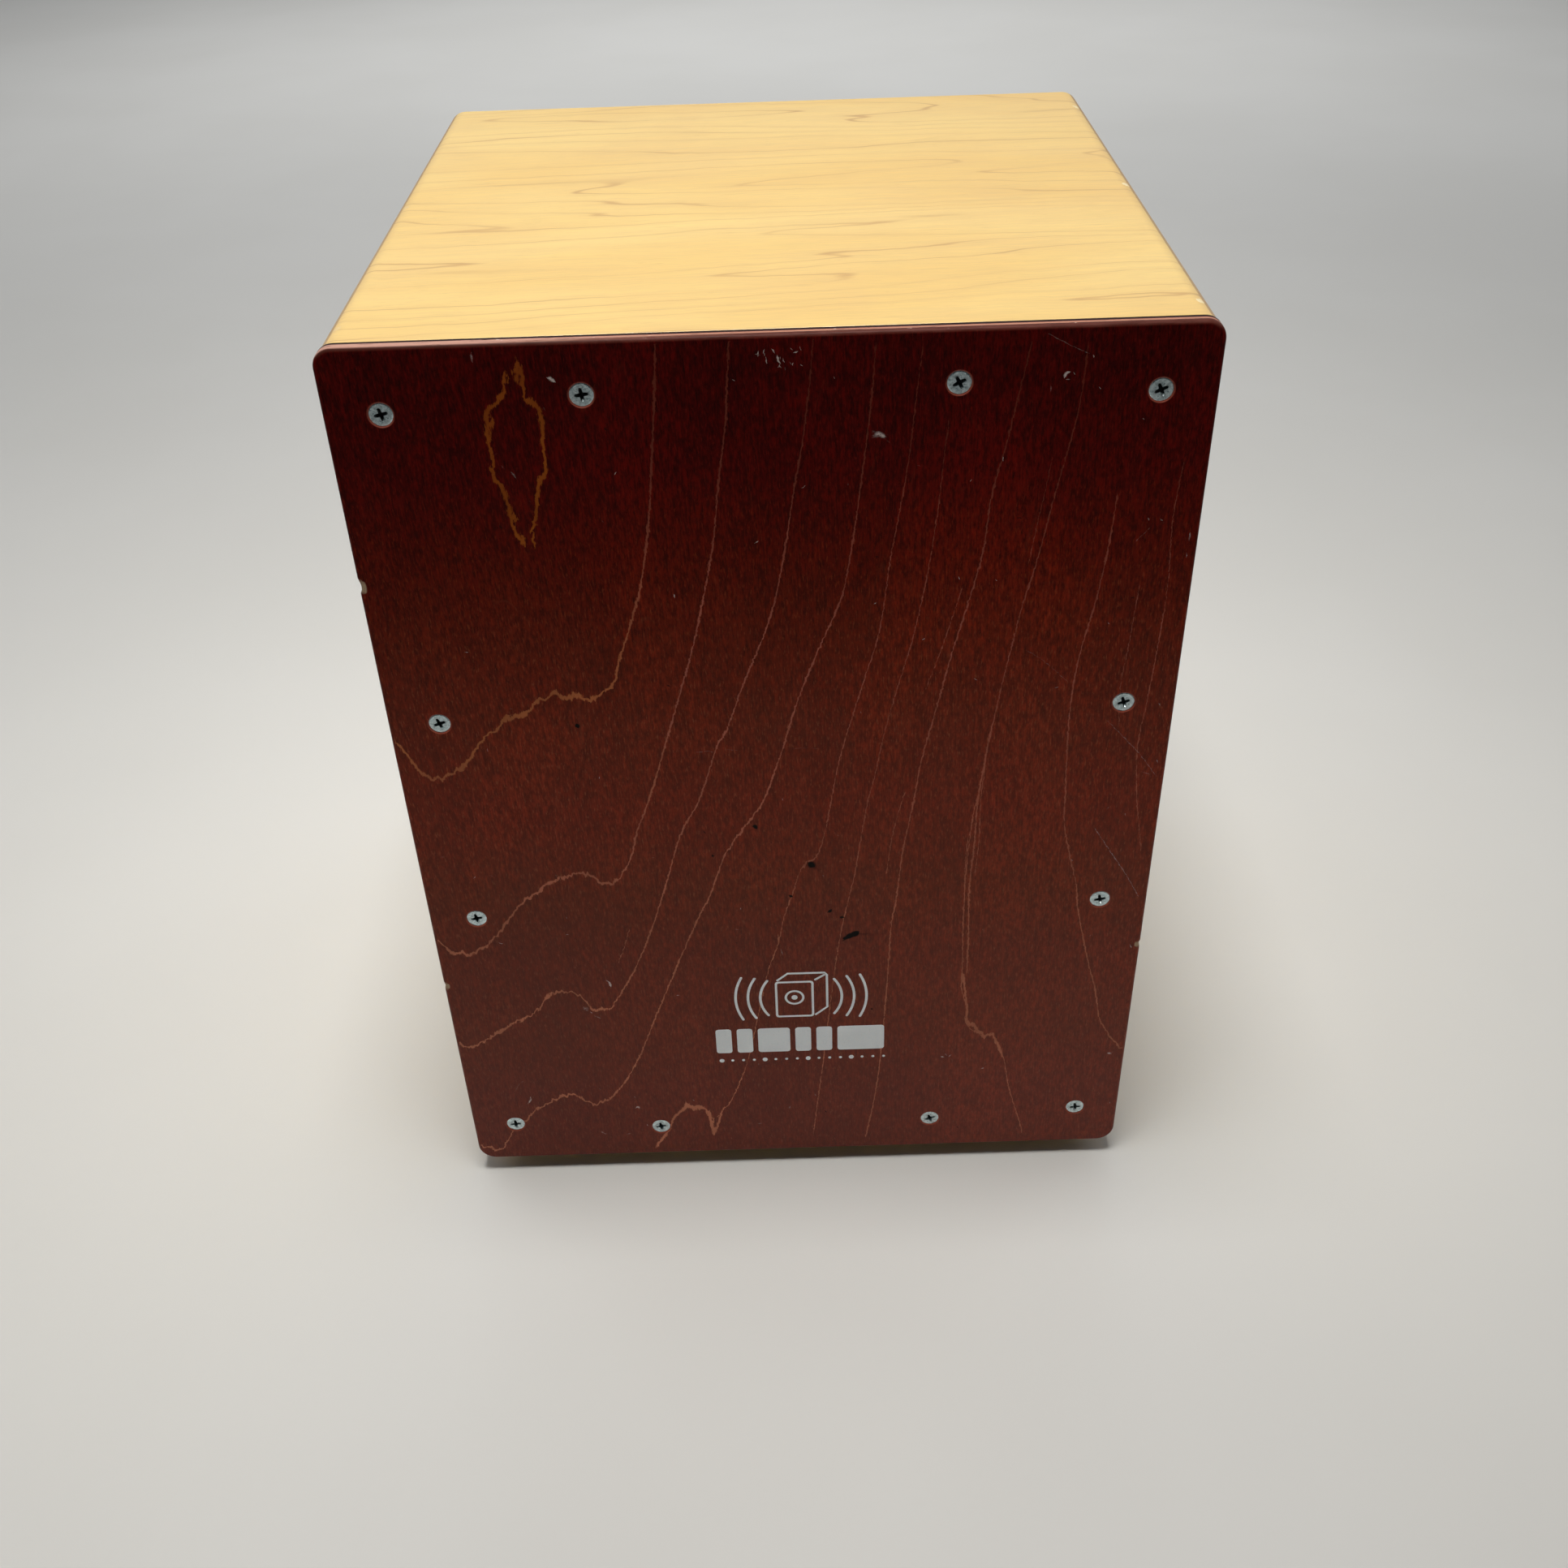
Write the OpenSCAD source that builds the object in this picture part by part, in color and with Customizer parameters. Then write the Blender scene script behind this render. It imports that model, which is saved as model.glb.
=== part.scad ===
// Child-size cajon: a four-wall wooden box drum with a thin screwed-on
// playing plate, a ported back panel, fixed snare wires and rubber feet.
// Millimetres, +Z up.  The origin is on the floor, under the middle of the
// drum.  The playing plate faces -Y and +X is to the right of a person who
// looks at the plate.

/* [Body] */
// Outer width of the drum
body_w = 222; // [200:1:260]
// Outer depth of the drum, playing plate included
body_d = 222; // [200:1:260]
// Height of the drum without its feet
body_h = 295; // [270:1:340]
// Thickness of the four walls
wall_t = 9; // [8:0.5:10]
// Radius of the four long outer edges and of the plate's corners
edge_r = 6; // [3:0.5:7.5]

/* [Playing plate] */
// Thickness of the playing plate
plate_t = 4; // [3:0.5:5]
// Distance of the screws from the plate's side edges
screw_side = 14.5; // [13.5:0.1:15]
// Distance of the corner screws from the plate's top and bottom edges
screw_corner = 17.3; // [15:0.1:18]
// Distance of the middle screws from the plate's top and bottom edges
screw_end = 13.8; // [13.5:0.1:15]
// Distance of the two middle screws from the plate's centre line
screw_mid_x = 46.5; // [40:0.5:60]
// Height of the upper side screws above the plate's bottom edge
screw_upper_z = 185; // [175:1:195]
// Height of the lower side screws above the plate's bottom edge
screw_lower_z = 111.8; // [100:0.1:125]

/* [Wood screws] */
// Diameter of a countersunk head
head_d = 6.2; // [5.6:0.1:6.4]
// Diameter of the shank
shank_d = 2.9; // [2.5:0.1:3.2]
// Whole length of a plate screw
screw_l = 16; // [14:1:18]

/* [Frame inside] */
// Width of the battens, along the plate
batten_w = 12; // [12:0.5:14]
// Depth of the battens, away from the plate
batten_d = 15; // [15:1:20]

/* [Back panel] */
// Thickness of the back panel
back_t = 5; // [4:0.5:6]
// Diameter of the sound hole
hole_d = 90; // [60:1:110]
// Height of the sound hole's centre above the lower edge of the body
hole_z = 165; // [140:1:175]

/* [Snare] */
// Number of wires in one snare set
wire_n = 10; // [6:1:10]
// Outer diameter of one coiled wire
wire_d = 1.6; // [1.2:0.1:1.8]
// Distance between neighbouring wires
wire_pitch = 3.8; // [3:0.1:3.8]
// Length of a wire
wire_l = 33; // [28:1:34]
// Distance of each snare set from the centre line
snare_x = 60; // [45:1:70]

/* [Feet] */
// Height of the rubber feet
foot_h = 6; // [5:0.5:8]
// Diameter of a foot where it meets the body
foot_d = 20; // [16:0.5:24]
// Distance of the feet from the body's outer faces
foot_inset = 24; // [20:1:40]

/* [Hidden] */

$fn = 64;
eps = 0.01;

hw = body_w / 2;                 // half width
y_front = -body_d / 2;           // face of the playing plate
y_tube = y_front + plate_t;      // front end of the four walls
y_back = body_d / 2;             // rear end of the walls, face of the back panel
tube_d = y_back - y_tube;        // depth of the walls
z_low = foot_h;                  // lower face of the body
z_high = foot_h + body_h;        // seat
in_w = body_w - 2 * wall_t;      // clear width inside
in_h = body_h - 2 * wall_t;      // clear height inside
z_in = z_low + wall_t;           // inside floor

wood = [0.93, 0.76, 0.44];
plate_brown = [0.24, 0.06, 0.04];
pine = [0.83, 0.68, 0.45];
zinc = [0.62, 0.66, 0.66];

// Screw centres on the plate, x and height above the plate's lower edge
function plate_points() = [
    for (s = [-1, 1], p = [
        [hw - screw_side, body_h - screw_corner],
        [screw_mid_x, body_h - screw_end],
        [hw - screw_side, screw_upper_z],
        [hw - screw_side, screw_lower_z],
        [hw - screw_side, screw_corner],
        [screw_mid_x, screw_end]
    ]) [s * p[0], p[1]]
];

// Screw centres on the back panel, x and height above the body's lower edge
back_in = wall_t + batten_w / 2;
function back_points() = [
    for (s = [-1, 1], p = [
        [hw - back_in, body_h - back_in],
        [hw - back_in, body_h / 2],
        [hw - back_in, back_in]
    ]) [s * p[0], p[1]]
];
function back_mid_points() = [[0, body_h - back_in], [0, back_in]];

// Brads along the corner joints: x, y
brad_in = 4;
function brad_points() = [
    for (s = [-1, 1], y = [y_front + 14, y_front + 112, y_front + 202])
        [s * (hw - brad_in), y]
];
brad_top = 1.2;      // depth of the filler over a brad's head
brad_head = 0.8;     // thickness of a brad's head
brad_shank = 22;     // length of a brad below its head

// Rounded outline of the drum seen from the front, on the XZ plane
module outline(r) {
    translate([-hw + r, z_low]) square([body_w - 2 * r, body_h]);
    translate([-hw, z_low + r]) square([body_w, body_h - 2 * r]);
    for (x = [-hw + r, hw - r], z = [z_low + r, z_high - r])
        translate([x, z]) circle(r = r);
}

// Stands a 2D outline in XZ up and runs it from y0 over a depth d
module along_y(y0, d) {
    translate([0, y0 + d, 0]) rotate([90, 0, 0]) linear_extrude(d) children();
}

// Countersunk wood screw along +Y, its head's face at y = 0
module wood_screw(hd, sd, l) {
    hr = hd / 2; sr = sd / 2;
    rotate([-90, 0, 0]) difference() {
        union() {
            cylinder(r1 = hr, r2 = sr, h = hr - sr);
            translate([0, 0, hr - sr - eps]) cylinder(r = sr, h = l - (hr - sr) - 3 + eps);
            translate([0, 0, l - 3]) cylinder(r1 = sr, r2 = 0.3, h = 3);
        }
        // cross recess
        for (a = [0, 90]) rotate([0, 0, a])
            translate([-hd * 0.27, -0.45, -1]) cube([hd * 0.54, 0.9, 2.1]);
    }
}

// Hole and countersink along +Y for a wood screw whose sheet's face is y = 0
module screw_hole(hd, sd, depth, sink) {
    r = hd / 2 + sink + 0.1; sr = sd / 2 + 0.25;
    rotate([-90, 0, 0]) {
        translate([0, 0, -1]) cylinder(r1 = r + 1, r2 = r, h = 1);
        cylinder(r1 = r, r2 = sr, h = r - sr);
        translate([0, 0, -1]) cylinder(r = sr, h = depth + 2);
    }
}

// Pilot hole along +Y
module pilot(d, l) { rotate([-90, 0, 0]) cylinder(r = d / 2 + 0.05, h = l); }

// Holes for the brads in the top (s = 1) or bottom (s = -1) of the body
module brad_holes(s) {
    z0 = s > 0 ? z_high : z_low;
    for (p = brad_points()) translate([p[0], p[1], z0]) mirror([0, 0, s > 0 ? 0 : 1]) {
        translate([0, 0, -brad_top - brad_head]) cylinder(r = 1.2, h = brad_top + brad_head + 1, $fn = 32);
        translate([0, 0, -brad_top - brad_head - brad_shank - 0.5])
            cylinder(r = 0.75, h = brad_shank + brad_head + 0.5, $fn = 32);
    }
}

// ---- the four walls ----

module end_panel(s) {
    z0 = s > 0 ? z_high - wall_t : z_low;
    difference() {
        along_y(y_tube, tube_d) intersection() {
            outline(edge_r);
            translate([-hw - 1, z0]) square([body_w + 2, wall_t]);
        }
        brad_holes(s);
        if (s < 0) for (p = foot_points()) translate([p[0], p[1], z_low - 1])
            cylinder(r = 1.5 + 0.05, h = 9.2 + 0, $fn = 32);
    }
}

module top_panel() { color(wood) end_panel(1); }

module bottom_panel() { color(wood) end_panel(-1); }

module side_panel(s) {
    difference() {
        translate([s > 0 ? hw - wall_t : -hw, y_tube, z_in]) cube([wall_t, tube_d, in_h]);
        brad_holes(1);
        brad_holes(-1);
    }
}

module left_side_panel() { color(wood) side_panel(-1); }

module right_side_panel() { color(wood) side_panel(1); }

// ---- plate and back ----

module front_plate() {
    color(plate_brown) difference() {
        along_y(y_front, plate_t) outline(edge_r);
        for (p = plate_points()) translate([p[0], y_front, z_low + p[1]])
            screw_hole(head_d, shank_d, plate_t, 0.2);
    }
}

module back_panel() {
    color(wood) difference() {
        translate([-in_w / 2, y_back - back_t, z_in]) cube([in_w, back_t, in_h]);
        translate([0, y_back + 1, z_low + hole_z]) rotate([90, 0, 0]) cylinder(d = hole_d, h = back_t + 2, $fn = 96);
        for (p = concat(back_points(), back_mid_points()))
            translate([p[0], y_back, z_low + p[1]]) rotate([0, 0, 180])
                screw_hole(head_d, shank_d, back_t, 0.2);
    }
}

// ---- battens that the plate and the back are screwed to ----

module batten_level(y0, z0, pts, dir) {
    difference() {
        translate([-in_w / 2, y0, z0]) cube([in_w, batten_d, batten_w]);
        batten_pilots(y0, pts, dir);
    }
}

module batten_upright(y0, s, pts, dir) {
    difference() {
        translate([s > 0 ? in_w / 2 - batten_w : -in_w / 2, y0, z_in + batten_w])
            cube([batten_w, batten_d, in_h - 2 * batten_w]);
        batten_pilots(y0, pts, dir);
    }
}

module batten_pilots(y0, pts, dir) {
    for (p = pts)
        if (dir > 0) translate([p[0], y0 - 1, z_low + p[1]]) pilot(shank_d, screw_l - plate_t + 2);
        else translate([p[0], y0 + batten_d + 1, z_low + p[1]]) rotate([0, 0, 180]) pilot(shank_d, screw_l - back_t + 2);
}

y_rear_b = y_back - back_t - batten_d;

module front_batten_top() { color(pine) batten_level(y_tube, z_in + in_h - batten_w, plate_points(), 1); }

module front_batten_bottom() { color(pine) batten_level(y_tube, z_in, plate_points(), 1); }

module front_batten_left() { color(pine) batten_upright(y_tube, -1, plate_points(), 1); }

module front_batten_right() { color(pine) batten_upright(y_tube, 1, plate_points(), 1); }

module rear_batten_top() { color(pine) batten_level(y_rear_b, z_in + in_h - batten_w, concat(back_points(), back_mid_points()), -1); }

module rear_batten_bottom() { color(pine) batten_level(y_rear_b, z_in, concat(back_points(), back_mid_points()), -1); }

module rear_batten_left() { color(pine) batten_upright(y_rear_b, -1, back_points(), -1); }

module rear_batten_right() { color(pine) batten_upright(y_rear_b, 1, back_points(), -1); }

// ---- fasteners of the body ----

module front_plate_screws() {
    for (i = [0 : len(plate_points()) - 1]) {
        p = plate_points()[i];
        color(zinc) translate([p[0], y_front + 0.25, z_low + p[1]])
            rotate([0, 17 * i, 0]) wood_screw(head_d, shank_d, screw_l);
    }
}

module back_panel_screws() {
    pts = concat(back_points(), back_mid_points());
    for (i = [0 : len(pts) - 1])
        color(zinc) translate([pts[i][0], y_back - 0.25, z_low + pts[i][1]])
            rotate([0, 23 * i, 180]) wood_screw(head_d, shank_d, screw_l);
}

module panel_brads() {
    color(zinc) for (s = [0, 1], p = brad_points())
        translate([p[0], p[1], s ? z_low : z_high]) mirror([0, 0, s]) {
            translate([0, 0, -brad_top - brad_head]) cylinder(r = 1.1, h = brad_head, $fn = 32);
            translate([0, 0, -brad_top - brad_head - brad_shank]) cylinder(r = 0.7, h = brad_shank + eps, $fn = 32);
        }
}

module filler_plugs() {
    color([0.98, 0.88, 0.62]) intersection() {
        for (s = [0, 1], p = brad_points())
            translate([p[0], p[1], s ? z_low : z_high]) mirror([0, 0, s])
                translate([0, 0, -brad_top]) cylinder(r = 1.2, h = brad_top + 1, $fn = 32);
        along_y(y_tube, tube_d) outline(edge_r);
    }
}

// ---- snare ----

bar_z = z_low + 224;             // lower face of the snare bar
bar_y = y_tube + 9;              // its front face
bar_h = 20;
bar_d = 12;
lip_z = bar_z + 14;              // lower face of the plate's lip
lip_h = 5;
lip_t = 3;
wire_y = bar_y - 0.8 - 1.9;      // wires' middle at the lower face of the lip
wire_a = asin((wire_y - y_tube - wire_d / 2 - 0.15) / (wire_l + 1.2)); // lean of the wires towards the playing plate

module wire_rods(s, d, l, down) {
    for (i = [0 : wire_n - 1])
        translate([s * snare_x + (i - (wire_n - 1) / 2) * wire_pitch, wire_y, lip_z])
            rotate([wire_a, 0, 0]) translate([0, 0, -down]) cylinder(r = d / 2, h = l, $fn = 24);
}

module snare_screw_points(s) {
    for (k = [-1, 1]) translate([s * snare_x + k * 12, bar_y, bar_z + 7]) children();
}

module snare_bar() {
    color(pine) difference() {
        translate([-in_w / 2, bar_y, bar_z]) cube([in_w, bar_d, bar_h]);
        for (s = [-1, 1]) snare_screw_points(s) translate([0, -1, 0]) pilot(2.2, 9.5);
    }
}

module snare_plate(s) {
    w = (wire_n - 1) * wire_pitch + 5;
    difference() {
        union() {
            translate([s * snare_x - w / 2, bar_y - 0.8, bar_z + 2]) cube([w, 0.8, 17]);
            translate([s * snare_x - w / 2, bar_y - 0.8 - lip_t - 0.3, lip_z]) cube([w, lip_t + 0.3 + eps, lip_h]);
        }
        wire_rods(s, wire_d + 0.1, lip_h + 4, -1);
        snare_screw_points(s) translate([0, -2, 0]) rotate([-90, 0, 0]) cylinder(r = 1.3, h = 4, $fn = 32);
    }
}

module snare_plate_left() { color([0.72, 0.62, 0.36]) snare_plate(-1); }

module snare_plate_right() { color([0.72, 0.62, 0.36]) snare_plate(1); }

module snare_wires_left() { color([0.75, 0.76, 0.78]) wire_rods(-1, wire_d, wire_l, -1.2); }

module snare_wires_right() { color([0.75, 0.76, 0.78]) wire_rods(1, wire_d, wire_l, -1.2); }

module snare_plate_screws() {
    color(zinc) for (s = [-1, 1]) snare_screw_points(s) translate([0, -0.8, 0]) rotate([-90, 0, 0])
        difference() {
            union() {
                translate([0, 0, -1.4]) cylinder(r1 = 1.9, r2 = 2.3, h = 1.4, $fn = 32);
                translate([0, 0, -eps]) cylinder(r = 1.1, h = 7, $fn = 32);
                translate([0, 0, 7 - 2 * eps]) cylinder(r1 = 1.1, r2 = 0.3, h = 1.5, $fn = 32);
            }
            for (a = [0, 90]) rotate([0, 0, a]) translate([-1.2, -0.3, -2.4]) cube([2.4, 0.6, 1.8]);
        }
}

// ---- feet ----

function foot_points() = [for (x = [-1, 1], y = [-1, 1]) [x * (hw - foot_inset), y * (body_d / 2 - foot_inset)]];

module foot_at(x, y) {
    color([0.12, 0.12, 0.12]) translate([x * (hw - foot_inset), y * (body_d / 2 - foot_inset), 0])
        difference() {
            cylinder(r1 = foot_d / 2 - 1.5, r2 = foot_d / 2, h = foot_h);
            translate([0, 0, -1]) cylinder(r = 4.5, h = foot_h - 2);
            cylinder(r = 1.9, h = foot_h + 1, $fn = 32);
        }
}

module foot_front_left() { foot_at(-1, -1); }

module foot_front_right() { foot_at(1, -1); }

module foot_rear_left() { foot_at(-1, 1); }

module foot_rear_right() { foot_at(1, 1); }

washer_t = 0.8;

module foot_washers() {
    color(zinc) for (p = foot_points()) translate([p[0], p[1], foot_h - 3 - washer_t]) difference() {
        cylinder(r = 4, h = washer_t, $fn = 48);
        translate([0, 0, -1]) cylinder(r = 1.7, h = washer_t + 2, $fn = 32);
    }
}

module foot_screws() {
    z0 = foot_h - 3 - washer_t;
    color(zinc) for (p = foot_points()) translate([p[0], p[1], z0]) difference() {
        union() {
            translate([0, 0, -1.6]) cylinder(r1 = 2.2, r2 = 3, h = 1.6, $fn = 48);
            translate([0, 0, -eps]) cylinder(r = 1.5, h = 9, $fn = 32);
            translate([0, 0, 9 - 2 * eps]) cylinder(r1 = 1.5, r2 = 0.3, h = 2.4, $fn = 32);
        }
        for (a = [0, 90]) rotate([0, 0, a]) translate([-1.5, -0.4, -2.6]) cube([3, 0.8, 2.2]);
    }
}

top_panel();
bottom_panel();
left_side_panel();
right_side_panel();
front_plate();
back_panel();
front_batten_top();
front_batten_bottom();
front_batten_left();
front_batten_right();
rear_batten_top();
rear_batten_bottom();
rear_batten_left();
rear_batten_right();
front_plate_screws();
back_panel_screws();
panel_brads();
filler_plugs();
snare_bar();
snare_plate_left();
snare_plate_right();
snare_wires_left();
snare_wires_right();
snare_plate_screws();
foot_front_left();
foot_front_right();
foot_rear_left();
foot_rear_right();
foot_washers();
foot_screws();
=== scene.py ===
import math
import random

import bpy
import numpy as np
from mathutils import Matrix, Vector
from mathutils.geometry import delaunay_2d_cdt


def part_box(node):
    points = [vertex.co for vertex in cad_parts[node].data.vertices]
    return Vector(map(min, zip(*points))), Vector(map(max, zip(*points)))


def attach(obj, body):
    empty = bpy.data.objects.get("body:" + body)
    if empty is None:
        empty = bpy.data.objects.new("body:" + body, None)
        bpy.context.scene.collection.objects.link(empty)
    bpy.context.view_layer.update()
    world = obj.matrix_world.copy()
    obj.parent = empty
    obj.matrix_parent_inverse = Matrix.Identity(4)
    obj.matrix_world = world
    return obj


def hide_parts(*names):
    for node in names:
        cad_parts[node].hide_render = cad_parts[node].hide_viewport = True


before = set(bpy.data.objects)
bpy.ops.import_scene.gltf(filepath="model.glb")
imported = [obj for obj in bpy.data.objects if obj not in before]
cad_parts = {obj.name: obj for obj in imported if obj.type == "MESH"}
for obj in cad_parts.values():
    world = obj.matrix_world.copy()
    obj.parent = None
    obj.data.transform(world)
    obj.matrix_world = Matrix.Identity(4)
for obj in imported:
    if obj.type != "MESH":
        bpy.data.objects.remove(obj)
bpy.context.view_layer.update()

MM = 0.001
ROOT = "root"
scene = bpy.context.scene
scene.view_settings.view_transform = "Standard"
scene.view_settings.look = "None"

# ------------------------------------------------------------------ camera
cam_data = bpy.data.cameras.new("camera")
cam_data.sensor_width = 36.0
cam_data.sensor_fit = "HORIZONTAL"
cam_data.lens = 36.43
cam_data.clip_start = 0.01
cam = bpy.data.objects.new("camera", cam_data)
scene.collection.objects.link(cam)
cam.matrix_world = Matrix((
    (0.999496, 0.031547, 0.003561, 0.00169),
    (-0.016, 0.597412, -0.801775, -0.48150),
    (-0.027421, 0.801314, 0.597616, 0.44230),
    (0, 0, 0, 1)))
scene.camera = cam

# ------------------------------------------------------------------ sizes from the frame, in millimetres
def mm_box(node):
    lo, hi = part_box(node)
    return [c * 1000 for c in lo], [c * 1000 for c in hi]


P_LO, P_HI = mm_box("front_plate")
T_LO, T_HI = mm_box("top_panel")
B_LO, B_HI = mm_box("bottom_panel")
L_LO, L_HI = mm_box("left_side_panel")
R_LO, R_HI = mm_box("right_side_panel")
K_LO, K_HI = mm_box("back_panel")
EDGE_R = 6.0
Z0 = P_LO[2]
Z1 = P_HI[2]


# ------------------------------------------------------------------ node helper
class Mat:
    """A small helper that builds a node material."""

    def __init__(self, name):
        self.m = bpy.data.materials.new(name)
        self.m.use_nodes = True
        self.nt = self.m.node_tree
        self.nt.nodes.clear()
        self.out = self.nt.nodes.new("ShaderNodeOutputMaterial")
        self.bsdf = self.nt.nodes.new("ShaderNodeBsdfPrincipled")
        self.nt.links.new(self.bsdf.outputs[0], self.out.inputs["Surface"])
        co = self.nt.nodes.new("ShaderNodeTexCoord")
        sep = self.nt.nodes.new("ShaderNodeSeparateXYZ")
        self.nt.links.new(co.outputs["Object"], sep.inputs[0])
        # millimetres in the row frame
        self.x = self.math("MULTIPLY", sep.outputs[0], 1000.0)
        self.y = self.math("MULTIPLY", sep.outputs[1], 1000.0)
        self.z = self.math("MULTIPLY", sep.outputs[2], 1000.0)

    def put(self, socket, value):
        if hasattr(value, "is_output"):
            self.nt.links.new(value, socket)
        elif isinstance(value, (tuple, list)) and len(value) == 3 and socket.type == "RGBA":
            socket.default_value = (*value, 1.0)
        else:
            socket.default_value = value

    def math(self, op, a, b=None, c=None, clamp=False):
        n = self.nt.nodes.new("ShaderNodeMath")
        n.operation = op
        n.use_clamp = clamp
        self.put(n.inputs[0], a)
        if b is not None:
            self.put(n.inputs[1], b)
        if c is not None:
            self.put(n.inputs[2], c)
        return n.outputs[0]

    def vec(self, x, y, z):
        n = self.nt.nodes.new("ShaderNodeCombineXYZ")
        self.put(n.inputs[0], x)
        self.put(n.inputs[1], y)
        self.put(n.inputs[2], z)
        return n.outputs[0]

    def noise(self, vec, scale=1.0, detail=2.0, rough=0.5, dist=0.0, color=False):
        n = self.nt.nodes.new("ShaderNodeTexNoise")
        n.noise_dimensions = "3D"
        self.put(n.inputs["Vector"], vec)
        n.inputs["Scale"].default_value = scale
        n.inputs["Detail"].default_value = detail
        n.inputs["Roughness"].default_value = rough
        n.inputs["Distortion"].default_value = dist
        return n.outputs["Color" if color else "Fac"]

    def grain_vec(self, u, v, w, su, sv, sw=None, off=0.0):
        """Coordinates stretched along the grain: features are 1/su long and 1/sv wide, in millimetres."""
        return self.vec(self.math("MULTIPLY_ADD", u, su, off), self.math("MULTIPLY", v, sv), self.math("MULTIPLY", w, sw if sw is not None else sv))

    def step(self, x, lo, hi, out_lo=0.0, out_hi=1.0):
        n = self.nt.nodes.new("ShaderNodeMapRange")
        n.interpolation_type = "SMOOTHSTEP"
        n.clamp = True
        self.put(n.inputs["Value"], x)
        self.put(n.inputs["From Min"], lo)
        self.put(n.inputs["From Max"], hi)
        self.put(n.inputs["To Min"], out_lo)
        self.put(n.inputs["To Max"], out_hi)
        return n.outputs["Result"]

    def mix(self, fac, a, b, blend="MIX"):
        n = self.nt.nodes.new("ShaderNodeMix")
        n.data_type = "RGBA"
        n.blend_type = blend
        n.clamp_factor = True
        self.put(n.inputs[0], fac)
        self.put(n.inputs[6], a)
        self.put(n.inputs[7], b)
        return n.outputs[2]

    def ramp(self, fac, stops, interp="LINEAR"):
        n = self.nt.nodes.new("ShaderNodeValToRGB")
        n.color_ramp.interpolation = interp
        cr = n.color_ramp
        while len(cr.elements) > 1:
            cr.elements.remove(cr.elements[-1])
        first = True
        for pos, col in stops:
            e = cr.elements[0] if first else cr.elements.new(pos)
            e.position = pos
            e.color = (*col, 1.0)
            first = False
        self.put(n.inputs[0], fac)
        return n.outputs[0]

    def scale_col(self, col, fac):
        """colour times a grey factor"""
        n = self.nt.nodes.new("ShaderNodeVectorMath")
        n.operation = "SCALE"
        self.put(n.inputs[0], col)
        self.put(n.inputs["Scale"], fac)
        return n.outputs[0]

    def attr(self, name):
        n = self.nt.nodes.new("ShaderNodeAttribute")
        n.attribute_type = "GEOMETRY"
        n.attribute_name = name
        return n.outputs["Fac"]

    def bump(self, height, strength, distance_mm, normal=None):
        n = self.nt.nodes.new("ShaderNodeBump")
        n.inputs["Strength"].default_value = strength
        n.inputs["Distance"].default_value = distance_mm * MM
        self.put(n.inputs["Height"], height)
        if normal is not None:
            self.put(n.inputs["Normal"], normal)
        return n.outputs[0]

    def set(self, **kw):
        for k, v in kw.items():
            self.put(self.bsdf.inputs[k.replace("_", " ")], v)
        return self.m


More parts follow.
